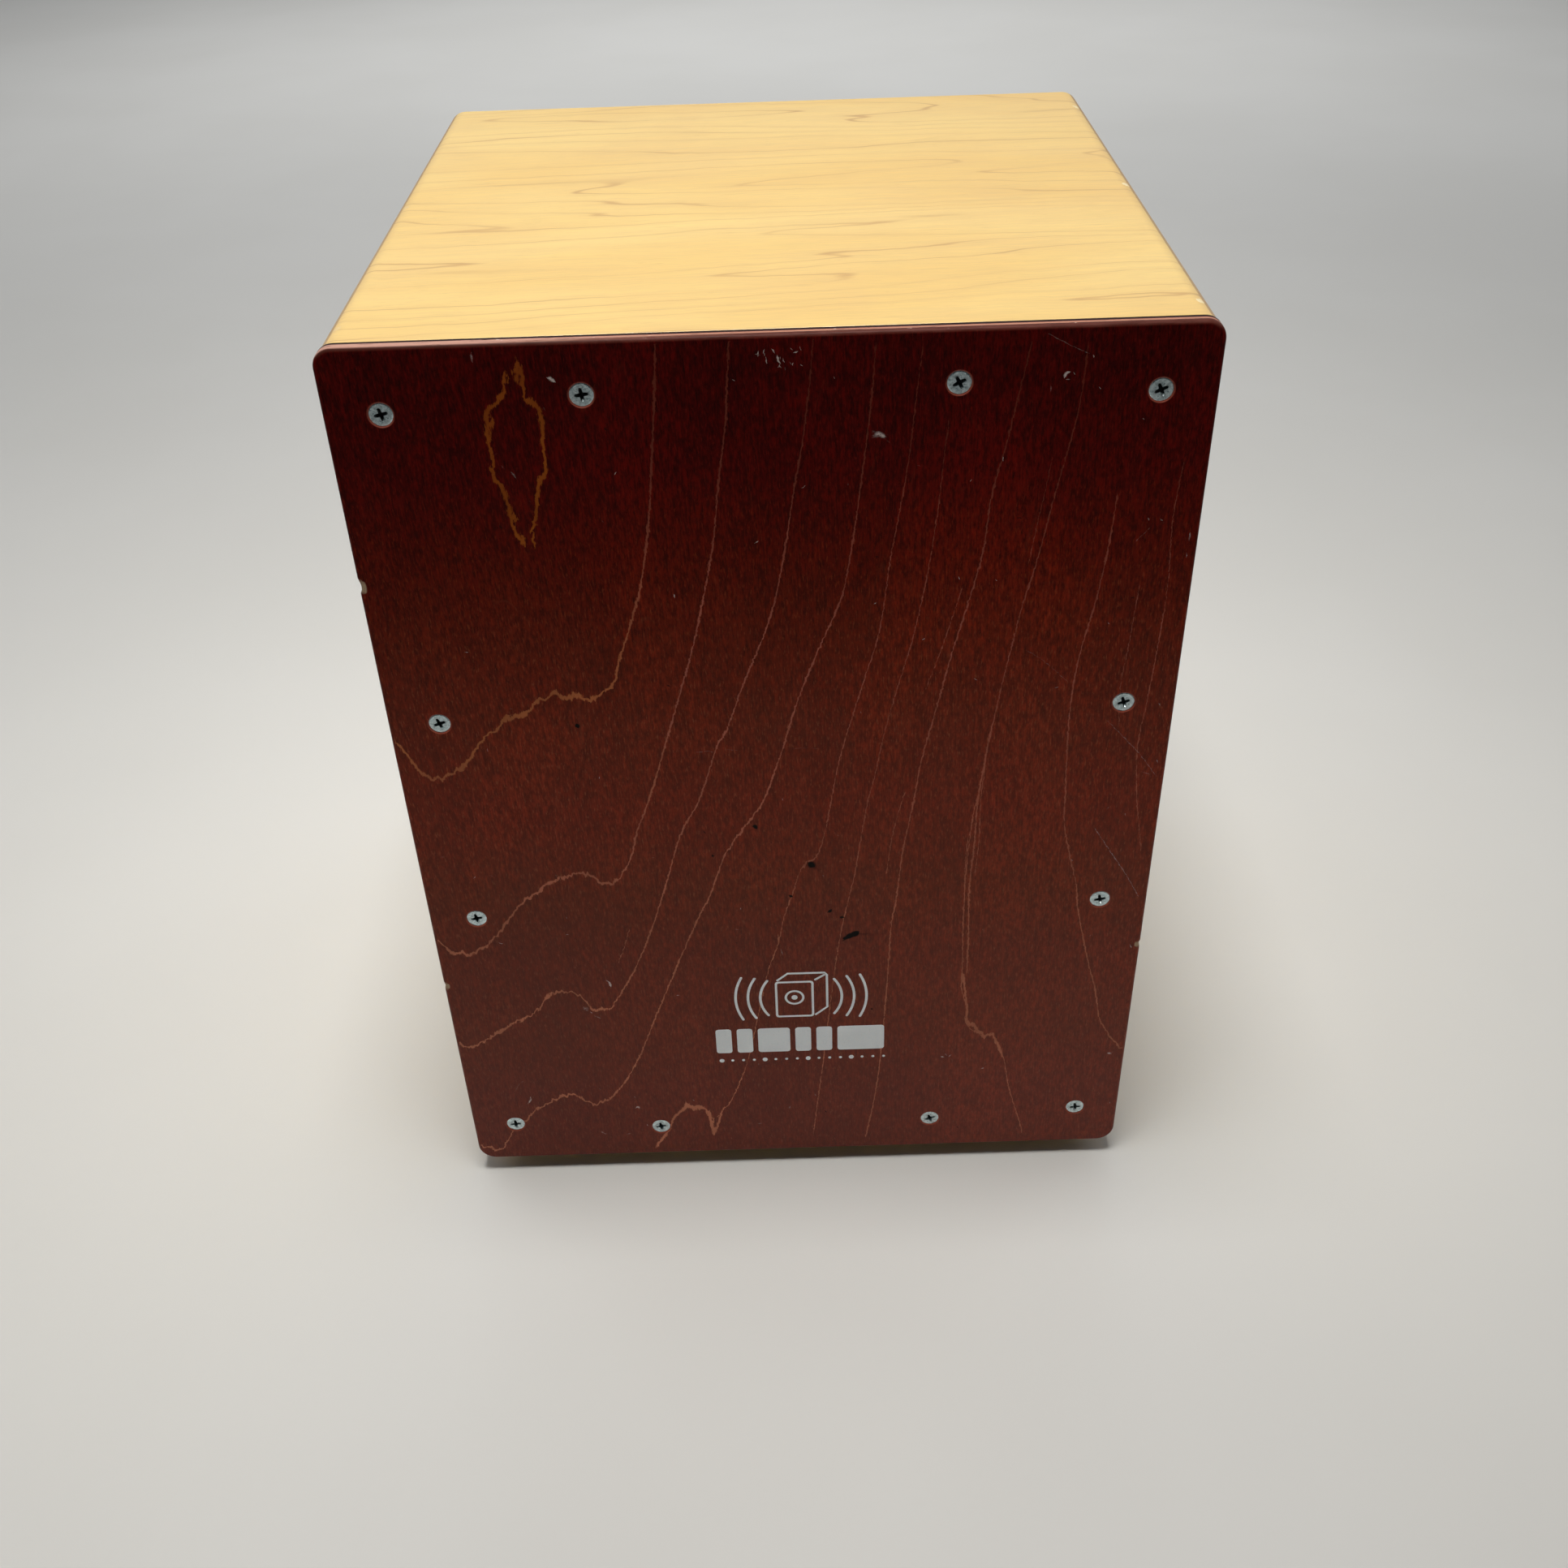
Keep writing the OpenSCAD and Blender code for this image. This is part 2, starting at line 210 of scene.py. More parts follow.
# ------------------------------------------------------------------ materials
def birch_material(name, along, depth, plies, seed=0.0, tone=1.0, along_scale=0.0042, rank=0.03, wild=0.9, thin=0.085):
    """Pale birch plywood under amber lacquer. along is the grain's axis, depth gives the distance from the outer
    face in millimetres (as a function of the material), and plies is the thickness of one ply."""
    m = Mat(name)
    ax = {"x": m.x, "y": m.y, "z": m.z}
    u = ax[along]
    others = [ax[k] for k in "xyz" if k != along]
    v, w = (others[1], others[0]) if along == "z" else (others[0], others[1])
    if along == "x":
        v, w = m.y, m.z
    # the figure leans a little off the board's axis
    v = m.math("MULTIPLY_ADD", u, -0.035, v)
    d = depth(m)
    # the lines waver a little
    v = m.math("MULTIPLY_ADD", m.math("SUBTRACT", m.noise(m.grain_vec(u, v, w, 0.045, 0.02, off=seed + 21), 1.0, 3.0, 0.6), 0.5), 4.0, v)
    # slow changes of tone
    slow = m.noise(m.grain_vec(u, v, w, 0.006, 0.018, off=seed), 1.0, 2.0, 0.5, 0.4)
    cloud = m.noise(m.grain_vec(u, v, w, 0.02, 0.03, off=seed + 7), 1.0, 3.0, 0.55, 0.6)
    # contour lines of a stretched field look like the cut growth rings of rotary veneer
    field = m.noise(m.grain_vec(u, v, w, along_scale, 0.027, 0.005, off=seed + 3), 1.0, 2.4, 0.42, 0.18)
    rings = m.math("FRACT", m.math("MULTIPLY_ADD", v, rank, m.math("MULTIPLY", field, 29.0 * wild)))
    ring = m.math("ABSOLUTE", m.math("SUBTRACT", rings, 0.5))          # 0 at the line, .5 between
    line = m.step(ring, 0.0, thin, 1.0, 0.0)
    soft = m.step(ring, 0.0, 0.42, 1.0, 0.0)
    fade = m.step(m.noise(m.grain_vec(u, v, w, 0.011, 0.07, off=seed + 11), 1.0, 2.0), 0.30, 0.66, 0.12, 1.0)
    line = m.math("MULTIPLY", line, fade)
    fibre = m.noise(m.grain_vec(u, v, w, 0.09, 2.6, off=seed), 1.0, 3.0, 0.6)
    pore_n = m.noise(m.grain_vec(u, v, w, 0.22, 3.4, off=seed + 5), 1.0, 2.0, 0.5)
    pore = m.step(pore_n, 0.63, 0.74)
    dash_n = m.noise(m.grain_vec(u, v, w, 0.05, 1.1, off=seed + 9), 1.0, 1.0, 0.4)
    dash = m.step(dash_n, 0.70, 0.80)
    lightest = (0.850 * tone, 0.600 * tone, 0.208 * tone)
    mid = (0.800 * tone, 0.525 * tone, 0.160 * tone)
    col = m.mix(m.step(slow, 0.32, 0.68), mid, lightest)
    col = m.mix(m.math("MULTIPLY", m.step(cloud, 0.35, 0.75), 0.30), col, (0.74 * tone, 0.475 * tone, 0.178 * tone))
    col = m.mix(m.math("MULTIPLY", soft, 0.15), col, (0.66 * tone, 0.40 * tone, 0.15 * tone))
    col = m.mix(m.math("MULTIPLY", line, 0.74), col, (0.50 * tone, 0.27 * tone, 0.085 * tone))
    col = m.mix(m.math("MULTIPLY", pore, 0.24), col, (0.45, 0.24, 0.08))
    col = m.mix(m.math("MULTIPLY", dash, 0.28), col, (0.42, 0.22, 0.07))
    col = m.scale_col(col, m.step(fibre, 0.2, 0.8, 0.92, 1.07))
    # plies show where the board is cut across
    ply = m.math("DIVIDE", m.math("ADD", d, 0.5), plies)
    odd = m.math("PINGPONG", ply, 1.0)
    k = m.math("FLOOR", m.math("ADD", ply, 0.0))
    dark_ply = m.step(m.math("ABSOLUTE", m.math("SUBTRACT", m.math("FRACT", m.math("MULTIPLY", m.math("ADD", k, 0.01), 0.5)), 0.5)), 0.2, 0.3, 1.0, 0.0)
    glue = m.step(m.math("ABSOLUTE", m.math("SUBTRACT", m.math("FRACT", m.math("ADD", ply, 0.5)), 0.5)), 0.0, 0.07, 1.0, 0.0)
    cut = m.step(d, 0.05 * plies, 0.10 * plies)
    end_noise = m.noise(m.vec(m.math("MULTIPLY", m.x, 1.3), m.math("MULTIPLY", m.y, 1.3), m.math("MULTIPLY", m.z, 1.3)), 1.0, 3.0, 0.6)
    edge_col = m.mix(m.step(end_noise, 0.3, 0.7), (0.36 * tone, 0.185 * tone, 0.060 * tone), (0.52 * tone, 0.30 * tone, 0.105 * tone))
    col = m.mix(m.math("MULTIPLY", m.math("MULTIPLY", dark_ply, cut), 0.85), col, edge_col)
    col = m.mix(m.math("MULTIPLY", m.math("MULTIPLY", glue, cut), 0.55), col, (0.26, 0.13, 0.045))
    # handling marks
    grime_n = m.noise(m.vec(m.math("MULTIPLY", m.x, 0.035), m.math("MULTIPLY", m.y, 0.035), m.math("MULTIPLY", m.z, 0.035)), 1.0, 4.0, 0.6, 0.5)
    grime = m.step(grime_n, 0.60, 0.80)
    col = m.mix(m.math("MULTIPLY", grime, 0.10), col, (0.42, 0.30, 0.17))
    rough = m.step(m.math("ADD", fibre, m.math("MULTIPLY", grime, 0.3)), 0.2, 0.9, 0.36, 0.47)
    height = m.math("ADD", m.math("MULTIPLY", fibre, 0.35), m.math("MULTIPLY", m.math("ADD", pore, m.math("ADD", line, dash)), -0.5))
    n = m.bump(height, 0.22, 0.12)
    wave = m.noise(m.vec(m.math("MULTIPLY", m.x, 0.012), m.math("MULTIPLY", m.y, 0.012), m.math("MULTIPLY", m.z, 0.012)), 1.0, 1.0)
    n = m.bump(wave, 0.25, 2.0, n)
    return m.set(Base_Color=col, Roughness=rough, Normal=n, IOR=1.5, Coat_Weight=0.28, Coat_Roughness=0.16)


def stain_material():
    """The playing plate: birch plywood stained dark red-brown under a satin lacquer. Growth-ring lines and marks come
    from the mesh's own attributes."""
    m = Mat("stained_plywood")
    x, y, z = m.x, m.y, m.z
    xs = m.math("MULTIPLY_ADD", z, 0.02, x)
    big = m.noise(m.grain_vec(z, xs, y, 0.010, 0.022), 1.0, 2.0, 0.5, 0.6)
    mid_n = m.noise(m.grain_vec(z, xs, y, 0.03, 0.11, off=4.0), 1.0, 3.0, 0.55, 0.4)
    fibre = m.noise(m.grain_vec(z, xs, y, 0.16, 2.3, off=1.0), 1.0, 4.0, 0.65)
    fine = m.noise(m.grain_vec(z, xs, y, 0.5, 4.5, off=2.0), 1.0, 2.0, 0.6)
    fleck_n = m.noise(m.grain_vec(z, xs, y, 0.42, 2.0, off=9.0), 1.0, 2.0, 0.55)
    fleck = m.step(fleck_n, 0.55, 0.72)
    dark_n = m.noise(m.grain_vec(z, xs, y, 0.45, 2.2, off=19.0), 1.0, 2.0, 0.55)
    dark_f = m.step(dark_n, 0.57, 0.73)
    deep = (0.116, 0.0078, 0.0022)
    red = (0.192, 0.0160, 0.0048)
    col = m.mix(m.step(big, 0.30, 0.72), deep, red)
    col = m.mix(m.math("MULTIPLY", m.step(mid_n, 0.35, 0.75), 0.45), col, (0.150, 0.016, 0.0055))
    mottle = m.noise(m.grain_vec(z, xs, y, 0.42, 1.05, off=51.0), 1.0, 3.0, 0.62)
    dash = m.noise(m.grain_vec(z, xs, y, 0.11, 0.75, off=71.0), 1.0, 2.0, 0.6)
    col = m.scale_col(col, m.step(fibre, 0.2, 0.8, 0.56, 1.44))
    col = m.scale_col(col, m.step(fine, 0.2, 0.8, 0.86, 1.14))
    col = m.scale_col(col, m.step(mottle, 0.28, 0.72, 0.50, 1.50))
    col = m.scale_col(col, m.step(dash, 0.30, 0.70, 0.93, 1.07))
    col = m.mix(m.math("MULTIPLY", fleck, 0.62), col, (0.32, 0.066, 0.028))
    col = m.mix(m.math("MULTIPLY", dark_f, 0.58), col, (0.050, 0.005, 0.002))
    # painted light: lighter and browner towards the bottom, where the pale floor's bounce and reflection fall
    low = m.step(m.math("ADD", z, m.math("MULTIPLY", m.math("SUBTRACT", big, 0.5), 90.0)), 300.0, 10.0)
    col = m.scale_col(col, m.math("MULTIPLY_ADD", low, 0.34, 0.72))
    col = m.mix(m.math("MULTIPLY", low, 0.42), col, (0.285, 0.066, 0.038))
    # painted shade and reflection: darkest and reddest at the top, where little light falls, and browner lower down,
    # where the pale floor is reflected; a little lighter towards the right as a painted sheen
    zf = m.math("DIVIDE", m.math("SUBTRACT", z, Z0), 295.0)
    tone = m.ramp(zf, [(0.0, (0.50, 0.76, 1.0)), (0.102, (0.515, 0.77, 1.0)), (0.203, (0.545, 0.82, 0.98)), (0.322, (0.57, 0.84, 1.0)), (0.407, (0.605, 0.90, 0.97)),
                       (0.508, (0.73, 0.88, 0.93)), (0.61, (0.735, 0.92, 0.91)), (0.712, (0.68, 0.67, 0.53)), (0.797, (0.59, 0.34, 0.19)), (0.881, (0.48, 0.14, 0.12)), (0.966, (0.385, 0.09, 0.10))])
    col = m.scale_col(m.mix(1.0, col, tone, blend="MULTIPLY"), m.math("MULTIPLY", m.step(x, -60.0, 90.0, 0.98, 1.10), 1.7))
    # faint second-order figure lines between the strong ones
    field = m.noise(m.grain_vec(z, xs, y, 0.0045, 0.030, off=31.0), 1.0, 1.8, 0.4, 0.3)
    ring = m.math("ABSOLUTE", m.math("SUBTRACT", m.math("FRACT", m.math("MULTIPLY", field, 17.0)), 0.5))
    faint = m.math("MULTIPLY", m.step(ring, 0.0, 0.05, 1.0, 0.0), m.step(mid_n, 0.50, 0.70))
    col = m.mix(m.math("MULTIPLY", faint, m.step(z, 150.0, 270.0, 0.30, 0.10)), col, (0.25, 0.056, 0.026))
    # growth-ring lines
    g = m.attr("grain")
    ragged = m.noise(m.vec(m.math("MULTIPLY", x, 2.8), m.math("MULTIPLY", y, 2.2), m.math("MULTIPLY", z, 0.7)), 1.0, 3.0, 0.7)
    gl = m.math("ADD", g, m.math("MULTIPLY", m.math("SUBTRACT", ragged, 0.5), 1.7))
    glm = m.math("MULTIPLY", m.step(gl, 0.34, 0.72), m.step(g, 0.02, 0.25))
    tone_n = m.noise(m.vec(m.math("MULTIPLY", x, 0.05), 0.0, m.math("MULTIPLY", z, 0.05)), 1.0, 2.0)
    # the lines carry the same painted shade: their colour darkens towards the top
    line_col = m.ramp(zf, [(0.0, (0.62, 0.225, 0.125)), (0.30, (0.60, 0.215, 0.118)), (0.55, (0.55, 0.168, 0.098)), (0.712, (0.50, 0.140, 0.085)), (0.797, (0.40, 0.098, 0.058)), (0.881, (0.25, 0.052, 0.030)), (0.966, (0.175, 0.034, 0.018))])
    spin = m.math("MULTIPLY", m.step(x, -50.0, -54.0), m.step(z, Z0 + 225.0, Z0 + 237.0))
    line_col = m.mix(spin, line_col, m.mix(m.step(mid_n, 0.35, 0.65), (0.290, 0.058, 0.010), (0.430, 0.100, 0.018)))
    ochre = m.math("MULTIPLY", m.step(x, -28.0, -48.0), m.step(z, 150.0, 185.0))
    line_col = m.mix(ochre, line_col, m.mix(1.0, line_col, (1.0, 1.06, 0.62), blend="MULTIPLY"))
    line_col = m.scale_col(line_col, m.step(tone_n, 0.35, 0.65, 0.84, 1.12))
    col = m.mix(m.math("MULTIPLY", glm, m.step(x, -30.0, 60.0, 0.86, 0.66)), col, line_col)
    # marks: above zero a pale scuff, below zero a dark spot
    k = m.attr("mark")
    broken = m.noise(m.vec(m.math("MULTIPLY", x, 1.1), m.math("MULTIPLY", y, 1.1), m.math("MULTIPLY", z, 1.1)), 1.0, 3.0, 0.7)
    scuff = m.step(m.math("MULTIPLY", k, m.step(broken, 0.3, 0.7, 0.55, 1.6)), 0.08, 0.85)
    col = m.mix(m.math("MULTIPLY", scuff, 0.85), col, m.mix(m.step(z, 120.0, 280.0), (0.72, 0.62, 0.58), (0.80, 0.68, 0.62)))
    spot = m.step(m.math("MULTIPLY", k, -1.0), 0.05, 0.40)
    col = m.mix(spot, col, (0.006, 0.005, 0.004))
    # the countersinks: stain pooled thinly on bare wood
    s = m.attr("sink")
    col = m.mix(m.math("MULTIPLY", s, 0.85), col, (0.34, 0.085, 0.055))
    # cut edges: stained plies, rubbed pale along the top, with a painted shadow as a dark band at their rear, in the
    # seam against the walls
    e = m.attr("edge")
    d = m.math("SUBTRACT", y, P_LO[1])
    wear_n = m.noise(m.vec(m.math("MULTIPLY", x, 0.11), m.math("MULTIPLY", y, 1.1), m.math("MULTIPLY", z, 0.11)), 1.0, 5.0, 0.72, 0.5)
    left = m.step(m.math("ADD", x, m.math("MULTIPLY", m.math("SUBTRACT", wear_n, 0.5), 120.0)), -5.0, -85.0)
    top = m.step(z, Z1 - 9.0, Z1 - 3.5)
    band_l = m.math("MULTIPLY", m.step(d, 0.35, 0.9), m.step(d, 2.6, 2.9, 1.0, 0.0))
    band_r = m.math("MULTIPLY", m.step(d, 1.25, 1.60), m.step(d, 2.35, 2.6, 1.0, 0.0))
    worn = m.math("ADD", m.math("MULTIPLY", band_l, left), m.math("MULTIPLY", band_r, m.math("SUBTRACT", 1.0, left)))
    worn = m.math("MULTIPLY", worn, m.step(wear_n, 0.26, 0.48))
    worn = m.math("MULTIPLY", worn, m.step(top, 0.0, 1.0, 0.10, 1.0))
    # the top edge: the stained edge lifted to a mauve, a painted highlight where the arris catches the light
    top_edge_stain_and_sheen = m.mix(m.step(wear_n, 0.3, 0.7), (0.080, 0.020, 0.014), (0.140, 0.042, 0.031))
    top_edge_stain_and_sheen = m.mix(left, top_edge_stain_and_sheen, (0.070, 0.020, 0.014))
    # the side edges: dark stain, darkened further by a painted dark reflection along the arris
    side_edge_stain_and_shade = m.mix(m.step(wear_n, 0.3, 0.7), (0.030, 0.007, 0.005), (0.075, 0.020, 0.015))
    edge_base = m.mix(top, side_edge_stain_and_shade, top_edge_stain_and_sheen)
    edge_base = m.mix(m.math("MULTIPLY", top, m.math("MULTIPLY", m.step(d, 1.05, 1.25), m.step(d, 1.4, 1.6, 1.0, 0.0))), edge_base, (0.030, 0.008, 0.006))
    ecol = m.mix(m.math("MULTIPLY", worn, 0.85), edge_base, m.mix(left, (0.52, 0.235, 0.155), (0.600, 0.330, 0.255)))
    nick = m.noise(m.vec(m.math("MULTIPLY", x, 0.22), m.math("MULTIPLY", y, 0.5), 0.0), 1.0, 3.0, 0.6)
    ecol = m.mix(m.math("MULTIPLY", m.math("MULTIPLY", m.step(nick, 0.66, 0.72), top), m.step(d, 0.5, 1.0)), ecol, (0.66, 0.50, 0.42))
    # painted shadow: the rear of the edge goes almost black where it meets the walls
    ecol = m.mix(m.math("MULTIPLY", m.step(d, 2.6, 2.85), 0.96), ecol, (0.014, 0.004, 0.002))
    col = m.mix(e, col, ecol)
    bare = m.attr("bare")
    col = m.mix(m.math("MULTIPLY", bare, m.step(broken, 0.25, 0.55, 0.5, 1.0)), col, (0.52, 0.38, 0.24))
    # the rear face inside the box is bare veneer
    raw = m.mix(m.step(big, 0.3, 0.7), (0.56, 0.37, 0.185), (0.66, 0.455, 0.240))
    raw = m.mix(m.math("MULTIPLY", m.step(ring, 0.0, 0.10, 1.0, 0.0), 0.5), raw, (0.38, 0.22, 0.10))
    col = m.mix(m.attr("raw"), col, m.scale_col(raw, m.step(fibre, 0.2, 0.8, 0.9, 1.1)))
    rough = m.step(m.math("ADD", m.math("MULTIPLY", fibre, 0.6), m.math("MULTIPLY", mid_n, 0.4)), 0.25, 0.75, 0.30, 0.42)
    rough = m.math("ADD", rough, m.math("MULTIPLY", scuff, 0.2), clamp=True)
    height = m.math("ADD", m.math("MULTIPLY", fibre, 0.5), m.math("MULTIPLY", fine, 0.25))
    height = m.math("ADD", height, m.math("MULTIPLY", m.math("ADD", m.math("ADD", glm, dark_f), spot), -0.35))
    n = m.bump(height, 0.30, 0.14)
    wave = m.noise(m.vec(m.math("MULTIPLY", x, 0.014), m.math("MULTIPLY", y, 0.014), m.math("MULTIPLY", z, 0.009)), 1.0, 1.0)
    n = m.bump(wave, 0.22, 2.0, n)
    return m.set(Base_Color=col, Roughness=rough, Normal=n, IOR=1.5, Specular_IOR_Level=0.05)


def pine_material(name, along, seed=0.0):
    m = Mat(name)
    ax = {"x": m.x, "y": m.y, "z": m.z}
    u = ax[along]
    v, w = [ax[k] for k in "xyz" if k != along]
    rings = m.noise(m.grain_vec(u, v, w, 0.006, 0.22, off=seed), 1.0, 2.0, 0.5, 0.3)
    late = m.step(m.math("ABSOLUTE", m.math("SUBTRACT", m.math("FRACT", m.math("MULTIPLY", rings, 12.0)), 0.5)), 0.05, 0.35, 1.0, 0.0)
    fibre = m.noise(m.grain_vec(u, v, w, 0.12, 3.0, off=seed + 2), 1.0, 3.0, 0.6)
    saw = m.noise(m.grain_vec(u, v, w, 0.9, 0.15, off=seed + 4), 1.0, 2.0, 0.5)
    col = m.mix(late, (0.70, 0.50, 0.29), (0.50, 0.27, 0.11))
    col = m.scale_col(col, m.step(fibre, 0.2, 0.8, 0.88, 1.12))
    n = m.bump(m.math("ADD", m.math("MULTIPLY", fibre, 0.6), m.math("MULTIPLY", saw, 0.4)), 0.5, 0.25)
    return m.set(Base_Color=col, Roughness=m.step(fibre, 0.2, 0.8, 0.62, 0.8), Normal=n)


def zinc_material():
    m = Mat("zinc_steel")
    p = m.vec(m.x, m.y, m.z)
    spangle = m.noise(p, 1.1, 3.0, 0.6)
    micro = m.noise(p, 7.0, 3.0, 0.6)
    tarn = m.noise(p, 0.35, 3.0, 0.6, 0.4)
    col = m.mix(m.step(spangle, 0.3, 0.7), (0.40, 0.50, 0.52), (0.66, 0.75, 0.76))
    col = m.mix(m.math("MULTIPLY", m.step(tarn, 0.52, 0.75), 0.35), col, (0.36, 0.38, 0.36))
    # painted shade: the screw recesses are darkened almost to black
    col = m.mix(m.math("MULTIPLY", m.attr("dirt"), 0.93), col, (0.035, 0.035, 0.032))
    rough = m.step(m.math("ADD", m.math("MULTIPLY", spangle, 0.5), m.math("MULTIPLY", micro, 0.5)), 0.3, 0.7, 0.22, 0.42)
    n = m.bump(micro, 0.25, 0.03)
    return m.set(Base_Color=col, Metallic=1.0, Roughness=rough, Normal=n)


def wire_material(name, base, bright):
    m = Mat(name)
    p = m.vec(m.x, m.y, m.z)
    a = m.noise(p, 0.8, 3.0, 0.6)
    b = m.noise(p, 6.0, 2.0, 0.6)
    col = m.mix(m.step(a, 0.3, 0.7), base, bright)
    return m.set(Base_Color=col, Metallic=1.0, Roughness=m.step(b, 0.3, 0.7, 0.24, 0.40), Normal=m.bump(b, 0.2, 0.03))


def rubber_material():
    m = Mat("black_rubber")
    p = m.vec(m.x, m.y, m.z)
    a = m.noise(p, 0.25, 3.0, 0.6)
    b = m.noise(p, 5.0, 3.0, 0.7)
    dust = m.step(m.noise(p, 0.6, 4.0, 0.7), 0.52, 0.75)
    col = m.mix(m.step(a, 0.3, 0.7), (0.014, 0.014, 0.015), (0.026, 0.026, 0.027))
    col = m.mix(m.math("MULTIPLY", dust, 0.25), col, (0.12, 0.11, 0.10))
    return m.set(Base_Color=col, Roughness=m.step(b, 0.3, 0.7, 0.55, 0.75), Normal=m.bump(b, 0.4, 0.08), Specular_IOR_Level=0.35)


def filler_material():
    m = Mat("wood_filler")
    p = m.vec(m.x, m.y, m.z)
    a = m.noise(p, 1.6, 4.0, 0.6)
    col = m.mix(m.step(a, 0.3, 0.7), (0.86, 0.66, 0.34), (0.98, 0.86, 0.58))
    col = m.mix(m.step(m.x, -60.0, 60.0), m.mix(m.step(a, 0.3, 0.7), (0.74, 0.50, 0.20), (0.82, 0.60, 0.27)), col)
    return m.set(Base_Color=col, Roughness=m.step(a, 0.3, 0.7, 0.34, 0.5), Normal=m.bump(a, 0.3, 0.08), Coat_Weight=0.3, Coat_Roughness=0.2)


def ink_material():
    m = Mat("printed_ink")
    p = m.vec(m.x, m.y, m.z)
    a = m.noise(p, 1.2, 4.0, 0.65)
    streak = m.noise(m.grain_vec(m.z, m.x, m.y, 0.4, 3.0), 1.0, 3.0, 0.6)
    col = m.mix(m.step(a, 0.3, 0.7), (0.92, 0.97, 0.99), (0.96, 0.99, 1.0))
    col = m.mix(m.math("MULTIPLY", m.step(streak, 0.60, 0.80), 0.35), col, (0.34, 0.30, 0.30))
    return m.set(Base_Color=col, Roughness=m.step(a, 0.3, 0.7, 0.42, 0.58), Normal=m.bump(streak, 0.25, 0.05))


# ------------------------------------------------------------------ mesh helper
class Builder:
    """Collects vertices (millimetres), faces with a normal per corner, and float attributes."""

    def __init__(self):
        self.co, self.faces, self.nor, self.attrs, self.mat = [], [], [], {}, []

    def v(self, p, **attrs):
        i = len(self.co)
        self.co.append((float(p[0]), float(p[1]), float(p[2])))
        for k, val in attrs.items():
            self.attrs.setdefault(k, {})[i] = val
        return i

    def f(self, idx, normals=None, mat=0):
        if len(set(idx)) < 3:
            return
        self.faces.append(list(idx))
        self.mat.append(mat)
        if normals is None:
            a = np.array([self.co[i] for i in idx])
            n = np.zeros(3)
            for i in range(len(a)):
                p, q = a[i], a[(i + 1) % len(a)]
                n += np.cross(p, q)
            n = n / (np.linalg.norm(n) + 1e-12)
            normals = [n] * len(idx)
        elif isinstance(normals, tuple):
            normals = [normals] * len(idx)
        self.nor.extend([tuple(float(c) for c in n) for n in normals])

    def build(self, name, mats, body=ROOT, nodes=()):
        me = bpy.data.meshes.new(name)
        me.from_pydata([(x * MM, y * MM, z * MM) for x, y, z in self.co], [], self.faces)
        for mt in mats:
            me.materials.append(mt)
        if len(mats) > 1:
            me.polygons.foreach_set("material_index", self.mat)
        for k, vals in self.attrs.items():
            a = me.attributes.new(k, "FLOAT", "POINT")
            arr = np.zeros(len(self.co), np.float32)
            for i, val in vals.items():
                arr[i] = val
            a.data.foreach_set("value", arr)
        me.polygons.foreach_set("use_smooth", [True] * len(me.polygons))
        me.update()
        me.normals_split_custom_set([Vector(n).normalized() for n in self.nor])
        ob = bpy.data.objects.new(name, me)
        scene.collection.objects.link(ob)
        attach(ob, body)
        if nodes:
            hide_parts(*nodes)
        return ob


def rounded_loop(x0, z0, x1, z1, radii, inset=0.0, seg=10, cuts=(1, 1, 1, 1)):
    """Outline in XZ, counter-clockwise as seen from -Y. radii and cuts: bottom-left, bottom-right, top-right,
    top-left; cuts[i] is how many pieces the straight edge after corner i is divided in.
    Returns points and outward normals."""
    pts, nor = [], []
    x0i, z0i, x1i, z1i = x0 + inset, z0 + inset, x1 - inset, z1 - inset
    corners = []
    for i, (cx, cz, a0) in enumerate(((x0, z0, 180), (x1, z0, 270), (x1, z1, 0), (x0, z1, 90))):
        r = max(radii[i] - inset, 0.02)
        px = (x0i + r) if cx == x0 else (x1i - r)
        pz = (z0i + r) if cz == z0 else (z1i - r)
        ring = []
        s = seg if radii[i] > 1.0 else 2
        for k in range(s + 1):
            a = math.radians(a0 + 90.0 * k / s)
            ring.append(((px + r * math.cos(a), pz + r * math.sin(a)), (math.cos(a), math.sin(a))))
        corners.append(ring)
    for i in range(4):
        for p, n in corners[i]:
            pts.append(p)
            nor.append(n)
        a = corners[i][-1]
        b = corners[(i + 1) % 4][0]
        for k in range(1, cuts[i]):
            t = k / cuts[i]
            pts.append((a[0][0] + (b[0][0] - a[0][0]) * t, a[0][1] + (b[0][1] - a[0][1]) * t))
            nor.append(a[1])
    return pts, nor


def inside_round(x, z, box, r, tol=1e-4):
    x0, z0, x1, z1 = box
    if x < x0 - tol or x > x1 + tol or z < z0 - tol or z > z1 + tol:
        return False
    cx = min(max(x, x0 + r), x1 - r)
    cz = min(max(z, z0 + r), z1 - r)
    return math.hypot(x - cx, z - cz) <= r + tol or (abs(x - cx) < 1e-9 or abs(z - cz) < 1e-9)


